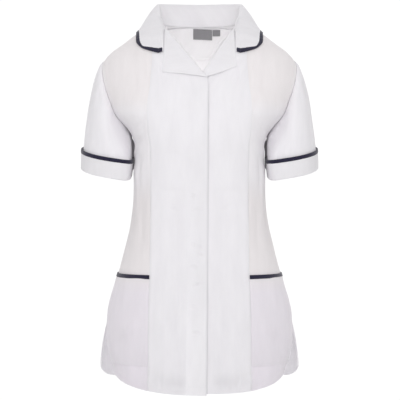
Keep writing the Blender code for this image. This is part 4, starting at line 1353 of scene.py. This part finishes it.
def make_back_panel():
    sheet = Cloth(*on_form(*back_panel(), False))
    sheet.mark("hem", ALL, 0)
    sheet.mark("left_shoulder", slice(0, SHOULDER_COLUMNS + 1), -1)
    sheet.mark("neck", slice(SHOULDER_COLUMNS, SHOULDER_COLUMNS + NECK_COLUMNS + 1), -1)
    sheet.mark("right_shoulder", slice(SHOULDER_COLUMNS + NECK_COLUMNS, None), -1)
    fold(sheet, BACK_CREASES, front=False)
    sheet.sway("back")
    sheet.work(
        pad=[("hem", *HEM_PAD)],
        press=[("hem", *HEM_PRESS)],
        tuck=[("hem", *FREE_EDGE), ("neck", *NECK_SEAM)],
    )
    seams = [("hem", HEM_STITCH, 0.01, 0.99)]
    for side, column, inward in (("left", 0, -1.0), ("right", -1, 1.0)):
        vent, seam, arm = side + "_vent", side + "_side", side + "_arm"
        sheet.mark(vent, column, slice(0, VENT_SPLIT + 1))
        sheet.mark(seam, column, slice(VENT_SPLIT, SIDE_SPLIT + 1))
        sheet.mark(arm, column, slice(SIDE_SPLIT, None))
        sheet.work(
            pad=[(vent, *VENT_PAD)],
            press=[(vent, *VENT_PRESS), (arm, *ARM_PRESS)],
            tuck=[
                (seam, *SIDE_SEAM),
                (arm, *ARM_SEAM),
                (vent, *FREE_EDGE),
                (side + "_shoulder", *SHOULDER_SEAM),
            ],
        )
        seams += [(vent, VENT_STITCH, 0.12, 1.0, inward), (arm, TOPSTITCH, 0.01, 0.99, inward)]
    dress(sheet, "back", seams=seams)


# Seam allowances, pressed flat on the inside


def strip(name, rows, ring, mirrored):
    sheet = Cloth(np.stack(rows, 1), ring=ring, thick=ALLOWANCE_CLOTH)
    sheet.settle()
    shell(name, sheet, WHITE_CLOTH, None, mirrored)


def seam_strip(name, turn, z, mirrored=False):
    """Allowance behind a seam that runs up the body form at given turns and levels."""
    rows = []
    wide = np.linalg.norm(form(turn + 0.5, z) - form(turn - 0.5, z), axis=-1)
    for offset in np.linspace(-ALLOWANCE, ALLOWANCE, 9):
        t = turn + offset / wide
        front = on_form(t, z, True, -ALLOWANCE_DEPTH)[0]
        back = on_form(t, z, False, -ALLOWANCE_DEPTH)[0]
        rows.append(np.where((t > 0.0)[:, None], front, back))
    strip(name, rows, False, mirrored)


def round_armhole(grow, depth):
    """Points and normals round the armhole, grown from its middle and set into the body."""
    faces = []
    for front in (True, False):
        turn, z = arm_curve(SLEEVE_ANGLES, front)
        z = ARM_MIDDLE + (z - ARM_MIDDLE) * grow
        faces.append(on_form(turn * grow, z, front, -depth))
    in_front = (SLEEVE_ANGLES <= 180.0)[:, None]
    return [np.where(in_front, a, b) for a, b in zip(*faces)]


def arm_strip(side, mirrored):
    """Allowance inside the armhole seam, one leg on the body and one in the sleeve."""
    down = np.tile((0.0, 0.010, 0.020, 0.040), (SLEEVE_COLUMNS, 1))
    arm = sleeve_points(SLEEVE_ANGLES, down)
    arm_out = grid_normals(arm, True)
    seam, body_out = round_armhole(1.0, 0.0)
    both = body_out + arm_out[:, 0]
    size = np.linalg.norm(both, axis=1, keepdims=True)
    corner = seam - both / size * ALLOWANCE_DEPTH / np.maximum(0.5 * size, 0.45)
    rows = [round_armhole(grow, ALLOWANCE_DEPTH)[0] for grow in (1.07, 1.035)] + [corner]
    rows += [arm[:, k] - arm_out[:, k] * ALLOWANCE_DEPTH for k in (2, 3)]
    strip(side + "_arm_seam", rows, True, mirrored)


def make_seams(side, mirrored):
    turn, z = side_front()
    seam_strip(side + "_princess_seam", turn[0], z[0], mirrored)
    below_arm = slice(VENT_SPLIT, SIDE_SPLIT + 1)
    seam_strip(side + "_side_seam", turn[-1, below_arm], z[-1, below_arm], mirrored)
    level = np.linspace(TIP_Z, NECK[2][1], 60)
    seam_strip(side + "_shoulder_seam", 0.0 * level, level, mirrored)
    arm_strip(side, mirrored)


# Bindings


def tape(name, strips, under, node, mirrored=False, ring=False):
    """Folded tape round an edge, from points and normals over a cloth of a given thickness.

    The columns run along the edge, and the rows from the tape's inner line to the edge.
    """
    points, normals = strips
    rise = np.full(points.shape[1], BIND_RISE)
    rise[0] = 0.0
    top = points + normals * rise[:, None]
    low = points - normals * (under + BIND_RISE)
    out = unit(points[:, -1] - points[:, -2])
    n = normals[:, -1]
    middle = 0.5 * (top[:, -1] + low[:, -1])
    half = 0.5 * np.linalg.norm(top[:, -1] - low[:, -1], axis=1, keepdims=True)
    turns = []
    for angle in TAPE_TURN:
        turns.append(middle + half * (math.sin(angle) * n + 0.75 * math.cos(angle) * out))
    loop = np.concatenate([top, np.stack(turns, 1), low[:, ::-1]], 1)
    sheet = Cloth(loop, ring=ring, thick=TAPE)
    sheet.settle()
    shell(name, sheet, NAVY_TAPE, node, mirrored)
    place = top[:, 1] + 0.15 * (top[:, 2] - top[:, 1])
    run = run_of(place)
    want = np.linspace(0.001, run[-1] - 0.001, int(run[-1] / STITCH_PITCH))
    seats = read_line(want, run, place)
    rows = [(seats, np.gradient(seats, axis=0), read_line(want, run, normals[:, 1]))]
    thread(name + "_thread", rows, NAVY_THREAD, mirrored)


# Pockets


def pocket_form(low, high, rows):
    """Points and normals of the pocket between two levels, from princess seam to side.

    Its mouth stands off a little, but not at its two seams.
    """
    levels = np.linspace(low, high, rows)
    turns = []
    for level in levels:
        start = float(princess_turn(level))
        end = float(VENT_TABLE(level)) if level < VENT_Z else 0.0
        t = np.linspace(start, end, 60)
        turns.append(spaced(t, level + 0.0 * t, True, POCKET_COLUMNS)[0])
    z = np.tile(levels, (POCKET_COLUMNS + 1, 1))
    share = np.linspace(0.0, 1.0, POCKET_COLUMNS + 1)[:, None]
    loose = np.clip((z - POCKET_EASE_Z) / POCKET_EASE_RUN, 0.0, 1.0)
    lift = POCKET_EASE * loose * np.clip(6.0 * share * (1.0 - share), 0.0, 1.0)
    return on_form(np.array(turns).T, z, True, POCKET_CLEAR + CLOTH + lift)


def make_pocket(side, mirrored):
    sheet = Cloth(*pocket_form(POCKET_FOOT, POCKET_TOP - 0.0006, POCKET_ROWS))
    sheet.mark("princess", 0, ALL)
    sheet.mark("side", -1, ALL)
    sheet.mark("foot", ALL, 0)
    sheet.mark("mouth", ALL, -1)
    fold_front(sheet)
    sheet.sway("pocket", mirrored)
    sheet.work(
        tuck=[("princess", 0.0016, 0.0024), ("side", 0.0016, 0.0026), ("foot", 0.0006, 0.0020)],
        press=[
            ("foot", FOOT_STITCH, 0.0010, 0.0004, 0.012, 0.0002),
            ("princess", POCKET_STITCH, 0.0012, 0.0005, 0.013, 0.00015),
            ("mouth", MOUTH_STITCH, 0.0010, 0.0003, 0.012, 0.00015),
        ],
    )
    name = side + "_pocket"
    seams = (
        ("foot", FOOT_STITCH),
        ("princess", POCKET_STITCH, 0.0, 1.0, -1.0),
        ("mouth", MOUTH_STITCH, 0.0, 1.0, -1.0),
    )
    dress(sheet, name, mirrored, SHADED_SIDE_CLOTH, seams)
    band = pocket_form(POCKET_TOP - BIND_WIDTH + 0.5 * BIND_TURN, POCKET_TOP - 0.5 * BIND_TURN, BIND_ROWS)
    tape(name + "_binding", band, CLOTH, name + "_trim", mirrored)


# Neck facing, label and size tab


def behind_neck(x, z, depth):
    """Points and normals on the inside of the back, at a depth behind its surface."""
    points, normals = on_form(turn_at(x + 0.0 * z, z, False), z, False, -depth)
    return points, -normals


def make_facing():
    half = FACING[-1][0]
    x = np.linspace(-half, half, FACING_GRID[0])[:, None]
    top = FACING_TOP - FACING_SLOPE * (np.abs(x) / half) ** 4
    low = FACING_TABLE(np.abs(x))
    t = np.linspace(0.0, 1.0, FACING_GRID[1])[None, :]
    depth = CLOTH + FACING_CLEAR + THIN + 0.0014 * (1.0 - t) ** 6
    sheet = Cloth(*behind_neck(x, low * (1.0 - t) + top * t, depth), thick=THIN)
    sheet.mark("low", ALL, 0)
    sheet.work(tuck=[("low", 0.0006, 0.0012)], press=[("low", FACING_STITCH, 0.0009, 0.0003, 0.011, 0.00015)])
    sheet.sway("facing")
    dress(sheet, "neck_facing", seams=[("low", FACING_STITCH)])
    depth = CLOTH + FACING_CLEAR + 2.0 * THIN + LABEL_CLEAR
    for name, (left, right, foot, tilt) in LABELS.items():
        x = np.linspace(left, right, LABEL_GRID[0])[:, None]
        t = np.linspace(0.0, 1.0, LABEL_GRID[1])[None, :]
        z = foot + tilt * (right - x) / (right - left) + (LABEL_TOP - foot) * t
        curl = 0.0012 * (1.0 - t) ** 2 + 0.0 * x
        sheet = Cloth(*behind_neck(x, z, depth + curl), thick=SATIN)
        sheet.mark("rim", ALL, 0)
        sheet.tuck("rim", 0.0003, 0.0008)
        sheet.sway("label")
        dress(sheet, name, finish=LABEL_SATIN)


# Lapels


def make_lapel(side, mirrored):
    bend, end, corner, sag = LAPEL[side]
    k = np.linspace(0.0, 1.0, LAPEL_GRID[0])[:, None]
    marks = (0.0, BEND_SHARE, 1.0)
    roll_x, roll_z = [np.interp(k, marks, (NECK_CORNER[i], bend[i], end[i])) for i in (0, 1)]
    out_x = NECK_CORNER[0] + LAPEL_GAP + (corner[0] - NECK_CORNER[0] - LAPEL_GAP) * k**2.5
    out_z = NECK_CORNER[1] + (corner[1] - NECK_CORNER[1]) * k
    out_x = np.maximum(out_x, roll_x + 0.0015)
    t = np.linspace(0.0, 1.0, LAPEL_GRID[1])[None, :]
    x = roll_x * (1 - t) + out_x * t
    z = roll_z * (1 - t) + out_z * t - sag * 4 * t * (1 - t) * k**3
    rise = LAPEL_RISE + LAPEL_CROWN * np.sin(math.pi * np.sqrt(t)) + 0.0 * k
    lift = lap_lift(x, z, side) + rise + DOUBLE
    base, normals = on_form(turn_at(x, z), z, True, lift)
    way = unit(base[:, 0] - base[:, 2])
    n = normals[:, 0]
    radius = 0.5 * (LAPEL_RISE + DOUBLE + CLOTH)
    centre = base[:, 0] - n * radius
    turned = []
    for angle in ROLL_TURN:
        turned.append(centre + radius * (math.cos(angle) * n + math.sin(angle) * way))
    sheet = Cloth(np.concatenate([np.stack(turned, 1), base], 1), thick=DOUBLE)
    sheet.thick[:, : LAPEL_TURN + 2] = TURNED
    sheet.mark("out", ALL, -1)
    sheet.mark("foot", -1, slice(LAPEL_TURN, None))
    for line in ("out", "foot"):
        sheet.tuck(line, *LAPEL_EDGE)
        sheet.press(line, LAPEL_STITCH, 0.0010, 0.0003, 0.013, 0.00012)
    seams = (("out", LAPEL_STITCH, 0.12, 0.95), ("foot", LAPEL_STITCH, 0.10, 0.93))
    dress(sheet, side + "_lapel", mirrored, WHITE_CLOTH, seams)


# Collar


def collar_at(u, v):
    """Points of half the collar: u along its stations, v 0 at the seam, 1 at the roll, 2 at the edge."""
    row = COLLAR_TABLE(u)
    turn, gorge = row[..., 0], row[..., 1]
    corner = float(turn_at(*NECK_CORNER))
    scaled = np.where(turn > 0, turn * corner / COLLAR_TURN, turn)
    front_level = neck_level(np.clip(scaled / corner, 0.0, 1.0))
    level = np.where(scaled > 0, front_level, NECK_TABLE(np.minimum(scaled, 0.0)))
    seam = np.where((scaled > 0)[..., None], form(scaled, level, True), form(scaled, level, False))
    seam = seam + np.array([0.0, 0.0, STAND_RISE])
    gorge_start = NECK_CORNER[0] + GORGE_GAP
    gorge_x = gorge_start + (NOTCH[0] - gorge_start) * gorge
    gorge_z = NECK_CORNER[1] + (NOTCH[1] - NECK_CORNER[1]) * gorge
    flat = on_form(turn_at(gorge_x, gorge_z), gorge_z, True, COLLAR_CLEAR)[0]
    blend = ramp(u, GORGE_STATION, GORGE_STATION + 1.0)[..., None]
    seam = seam * (1 - blend) + flat * blend
    roll, edge, reach = row[..., 2:5], row[..., 5:8], row[..., 8:9]
    out = unit((edge - seam) * (1.0, 1.0, 0.0))
    s = np.clip(v, 0.0, 1.0)[..., None]
    t = np.clip(v - 1.0, 0.0, 1.0)[..., None]
    stand = bezier(seam, seam + (roll - seam) * 0.45, roll - out * reach, roll, s)
    bulge = edge + (roll - edge) * 0.40 + out * reach
    fall = bezier(roll, roll + out * reach, bulge, edge, t)
    point = np.where((v <= 1.0)[..., None], stand, fall)
    front = np.clip(u - FRONT_STATION, 0.0, 1.0) ** 2
    point[..., 2] -= COLLAR_TIP_DROP * front * t[..., 0] ** 0.7
    width = (point[..., 0] - seam[..., 0]) / np.maximum(edge[..., 0] - seam[..., 0], 1e-6)
    point[..., 2] -= COLLAR_SAG * front * np.clip(4 * width * (1 - width), 0.0, 1.0)
    need = np.where(v >= 1.0, COLLAR_CLEAR, COLLAR_CLEAR * row[..., 9])
    return np.where((need <= 1e-6)[..., None], point, push_out(point, need))


class CollarOutline:
    """Turns distances from the collar's outer edge and front end into its own u and v."""

    def __init__(self):
        self.u = np.linspace(0.0, LAST_STATION, 500)
        run = run_of(collar_at(self.u, 2.0 + 0.0 * self.u))
        self.left = run[-1] - run
        across = np.tile(np.linspace(0.0, 1.0, 40), (500, 1))
        stations = np.tile(self.u[:, None], (1, 40))
        lengths = []
        for start in (0.0, 1.0):
            steps = np.diff(collar_at(stations, start + across), axis=1)
            lengths.append(np.sum(np.linalg.norm(steps, axis=2), axis=1))
        self.stand, self.fall = lengths

    def uv(self, a, b):
        u = np.interp(-b, -self.left, self.u)
        fall = np.interp(u, self.u, self.fall)
        stand = np.interp(u, self.u, self.stand)
        return u, np.where(a < fall, 2.0 - a / fall, 1.0 - (a - fall) / stand)


def rounded(a, b):
    """Move distances from two edges so that their corner is round."""
    p = np.clip(1.0 - a / CORNER_RADIUS, 0.0, 1.0)
    q = np.clip(1.0 - b / CORNER_RADIUS, 0.0, 1.0)
    new_a = CORNER_RADIUS * (1.0 - p * np.sqrt(1.0 - 0.5 * q * q))
    new_b = CORNER_RADIUS * (1.0 - q * np.sqrt(1.0 - 0.5 * p * p))
    near = (a < CORNER_RADIUS) & (b < CORNER_RADIUS)
    return np.where(near, new_a, a), np.where(near, new_b, b)


def mirror_half(half):
    return np.concatenate([half[::-1][:-1] * (-1.0, 1.0, 1.0), half])


def make_collar():
    outline = CollarOutline()
    u = np.linspace(0.0, LAST_STATION, COLLAR_COLUMNS)
    v = np.concatenate([np.linspace(0.0, 1.0, STAND_ROWS)[:-1], np.linspace(1.0, 2.0, FALL_ROWS)])
    u, v = np.meshgrid(u, v, indexing="ij")
    a = (2.0 - v) * np.interp(u, outline.u, outline.fall)
    b = np.interp(u, outline.u, outline.left)
    new_u, new_v = outline.uv(*rounded(np.maximum(a, 0.0005), np.maximum(b, 0.0005)))
    on_fall = v > 1.0
    half = collar_at(np.where(on_fall, new_u, np.minimum(u, new_u)), np.where(on_fall, new_v, v))
    sheet = Cloth(mirror_half(half), thick=DOUBLE)
    sheet.mark("seam", ALL, 0)
    sheet.tuck("seam", 0.0006, 0.0014)
    for place in STAND_STITCHES:
        sheet.press("seam", place, 0.0009, 0.0003, 0.012, 0.00014)
    dress(sheet, "collar", seams=[("seam", place, 0.20, 0.80) for place in STAND_STITCHES])
    c = np.linspace(BIND_WIDTH - BIND_TURN, 0.5 * BIND_TURN, BIND_ROWS)[None, :]
    far = np.linspace(outline.left[0], CORNER_RADIUS, 170)[:, None]
    angle = np.radians(np.linspace(0.0, 90.0, 26))[1:-1, None]
    last = outline.fall[-1] + outline.stand[-1] - 0.0012
    end = np.linspace(CORNER_RADIUS, last, 52)[:, None]
    a = [c + 0.0 * far, CORNER_RADIUS - (CORNER_RADIUS - c) * np.cos(angle), end + 0.0 * c]
    b = [far + 0.0 * c, CORNER_RADIUS - (CORNER_RADIUS - c) * np.sin(angle), c + 0.0 * end]
    points = mirror_half(collar_at(*outline.uv(np.concatenate(a), np.concatenate(b))))
    tape("collar_binding", (points, grid_normals(points)), DOUBLE, "collar_trim")


# Sleeves and cuffs


def make_sleeve(side, mirrored):
    share = np.linspace(0.0, 1.0, SLEEVE_ROWS)
    sheet = Cloth(sleeve_points(SLEEVE_ANGLES, np.tile(share, (SLEEVE_COLUMNS, 1))), ring=True)
    sheet.mark("arm", ALL, 0)
    sheet.mark("under", SLEEVE_COLUMNS // 2, ALL)
    for start, high, stop, low, left, right, height in SLEEVE_CREASES:
        axis = sleeve_points(np.linspace(start, stop, 13), np.linspace(high, low, 13))
        sheet.crease(axis, left, right, FOLD_SCALE * height)
    sheet.sway("sleeve", mirrored)
    sheet.tuck("arm", *ARM_SEAM)
    sheet.tuck("under", 0.0009, 0.0022)
    sheet.press("arm", 0.0100, 0.0060, -0.0004, 0.019, 0.00035)
    behind = bell(SLEEVE_ANGLES, 196.0, 20.0)[:, None]
    sheet.lift += 0.0062 * behind * ramp(share, 0.08, 0.30) * ramp(share, 0.92, 0.80)
    # Painted light: the sleeve cloth coloured a little lighter than the body's
    sheet.tone -= 0.020
    dress(sheet, side + "_sleeve", mirrored)


def cuff_lines(marks, heights):
    """Points round the cuff at heights above the sleeve's end and out from the sleeve."""
    fine = np.linspace(0.0, 1.0, 200)
    lines = sleeve_points(SLEEVE_ANGLES, np.tile(fine, (SLEEVE_COLUMNS, 1)))
    run = np.linalg.norm(np.diff(lines, axis=1), axis=2)
    back = np.pad(np.cumsum(run[:, ::-1], axis=1)[:, ::-1], ((0, 0), (0, 1)))
    points = sleeve_points(SLEEVE_ANGLES, np.array([np.interp(-marks, -line, fine) for line in back]))
    normals = grid_normals(points, True)
    if marks[-1] > marks[0]:
        normals = -normals
    return points + normals * heights[:, None], normals


def make_cuff(side, mirrored):
    down = np.linspace(CUFF_HEIGHT - 0.0008, CUFF_LIFT, CUFF_ROWS[0])
    outer = cuff_lines(down, np.interp(down, CUFF_HEIGHTS, CUFF_OUT))[0]
    up = np.linspace(CUFF_LIFT, 0.028, CUFF_ROWS[1])
    inner = cuff_lines(up, CUFF_INNER + 0.0 * up)[0]
    for part, place in ((outer, down), (inner, up)):
        part[:, :, 2] -= CUFF_DROP * (1.0 - place / CUFF_HEIGHT) ** 3
    middle = 0.5 * (outer[:, -1] + inner[:, 0])
    half = 0.5 * (outer[:, -1] - inner[:, 0])
    size = np.linalg.norm(half, axis=1, keepdims=True)
    way = unit(outer[:, -1] - outer[:, -2])
    turned = []
    for angle in CUFF_TURN:
        turned.append(middle + half * math.cos(angle) + 0.6 * way * size * math.sin(angle))
    whole = np.concatenate([outer, np.stack(turned, 1), inner], 1)
    sheet = Cloth(whole, ring=True, thick=CUFF_CLOTH)
    sheet.mark("top", ALL, 0)
    sheet.press("top", BIND_WIDTH + 0.0022, 0.0012, 0.0003, 0.012, 0.0002)
    sheet.sway("cuff", mirrored)
    name = side + "_cuff"
    dress(sheet, name, mirrored)
    band = np.linspace(CUFF_HEIGHT - BIND_WIDTH + BIND_TURN, CUFF_HEIGHT - 0.5 * BIND_TURN, BIND_ROWS)
    strips = cuff_lines(band, np.interp(band, CUFF_HEIGHTS, CUFF_OUT))
    tape(name + "_binding", strips, DOUBLE, name + "_trim", mirrored, ring=True)


# Studio


def make_world():
    """Even white light that is a little stronger from behind, and white as the camera sees it."""
    world = bpy.data.worlds.new("studio")
    world.use_nodes = True
    bpy.context.scene.world = world
    nodes, links = world.node_tree.nodes, world.node_tree.links
    back = nodes["Background"]
    set_inputs(back, {"Color": opaque(WHITE_LIGHT)})
    place = add_node(nodes, "TexCoord")
    split = add_node(nodes, "SeparateXYZ")
    links.new(place.outputs["Generated"], split.inputs[0])
    level = add_node(nodes, "MapRange", {"From Min": -0.6, "From Max": 1.0, "To Min": 0.56, "To Max": 1.10})
    links.new(split.outputs[1], level.inputs["Value"])
    links.new(level.outputs[0], back.inputs["Strength"])
    seen = add_node(nodes, "Background", {"Color": opaque(WHITE_LIGHT), "Strength": 1.05})
    path = add_node(nodes, "LightPath")
    mix = add_node(nodes, "MixShader")
    links.new(path.outputs["Is Camera Ray"], mix.inputs[0])
    links.new(back.outputs[0], mix.inputs[1])
    links.new(seen.outputs[0], mix.inputs[2])
    links.new(mix.outputs[0], nodes["World Output"].inputs["Surface"])


def make_studio():
    bpy.ops.mesh.primitive_circle_add(
        vertices=96, radius=FLOOR_RADIUS, fill_type="NGON", location=FLOOR_PLACE
    )
    floor = bpy.context.object
    floor.name = "floor"
    pale = {"Base Color": (0.90, 0.90, 0.90, 1.0), "Roughness": 0.9}
    floor.data.materials.append(node_tree("pale_floor", pale)[0])
    make_world()
    scene = bpy.context.scene
    for name, place, target, size, power, colour in LIGHTS:
        data = bpy.data.lights.new(name, "AREA")
        data.shape = "DISK"
        data.size = size
        data.energy = power
        data.color = colour
        lamp = bpy.data.objects.new(name, data)
        lamp.location = place
        aim = Vector(target) - Vector(place)
        lamp.rotation_euler = aim.to_track_quat("-Z", "Y").to_euler()
        scene.collection.objects.link(lamp)
    data = bpy.data.cameras.new("camera")
    data.lens = CAMERA_LENS
    data.sensor_width = CAMERA_SENSOR
    camera = bpy.data.objects.new("camera", data)
    camera.location = CAMERA_PLACE
    camera.rotation_euler = (math.pi / 2, 0.0, 0.0)
    scene.collection.objects.link(camera)
    scene.camera = camera
    scene.view_settings.view_transform = "Standard"


def main():
    make_studio()
    both_sides(make_centre_front)
    both_sides(make_side_front)
    make_back_panel()
    both_sides(make_seams)
    both_sides(make_pocket)
    make_facing()
    both_sides(make_lapel)
    make_collar()
    both_sides(make_sleeve)
    both_sides(make_cuff)


main()
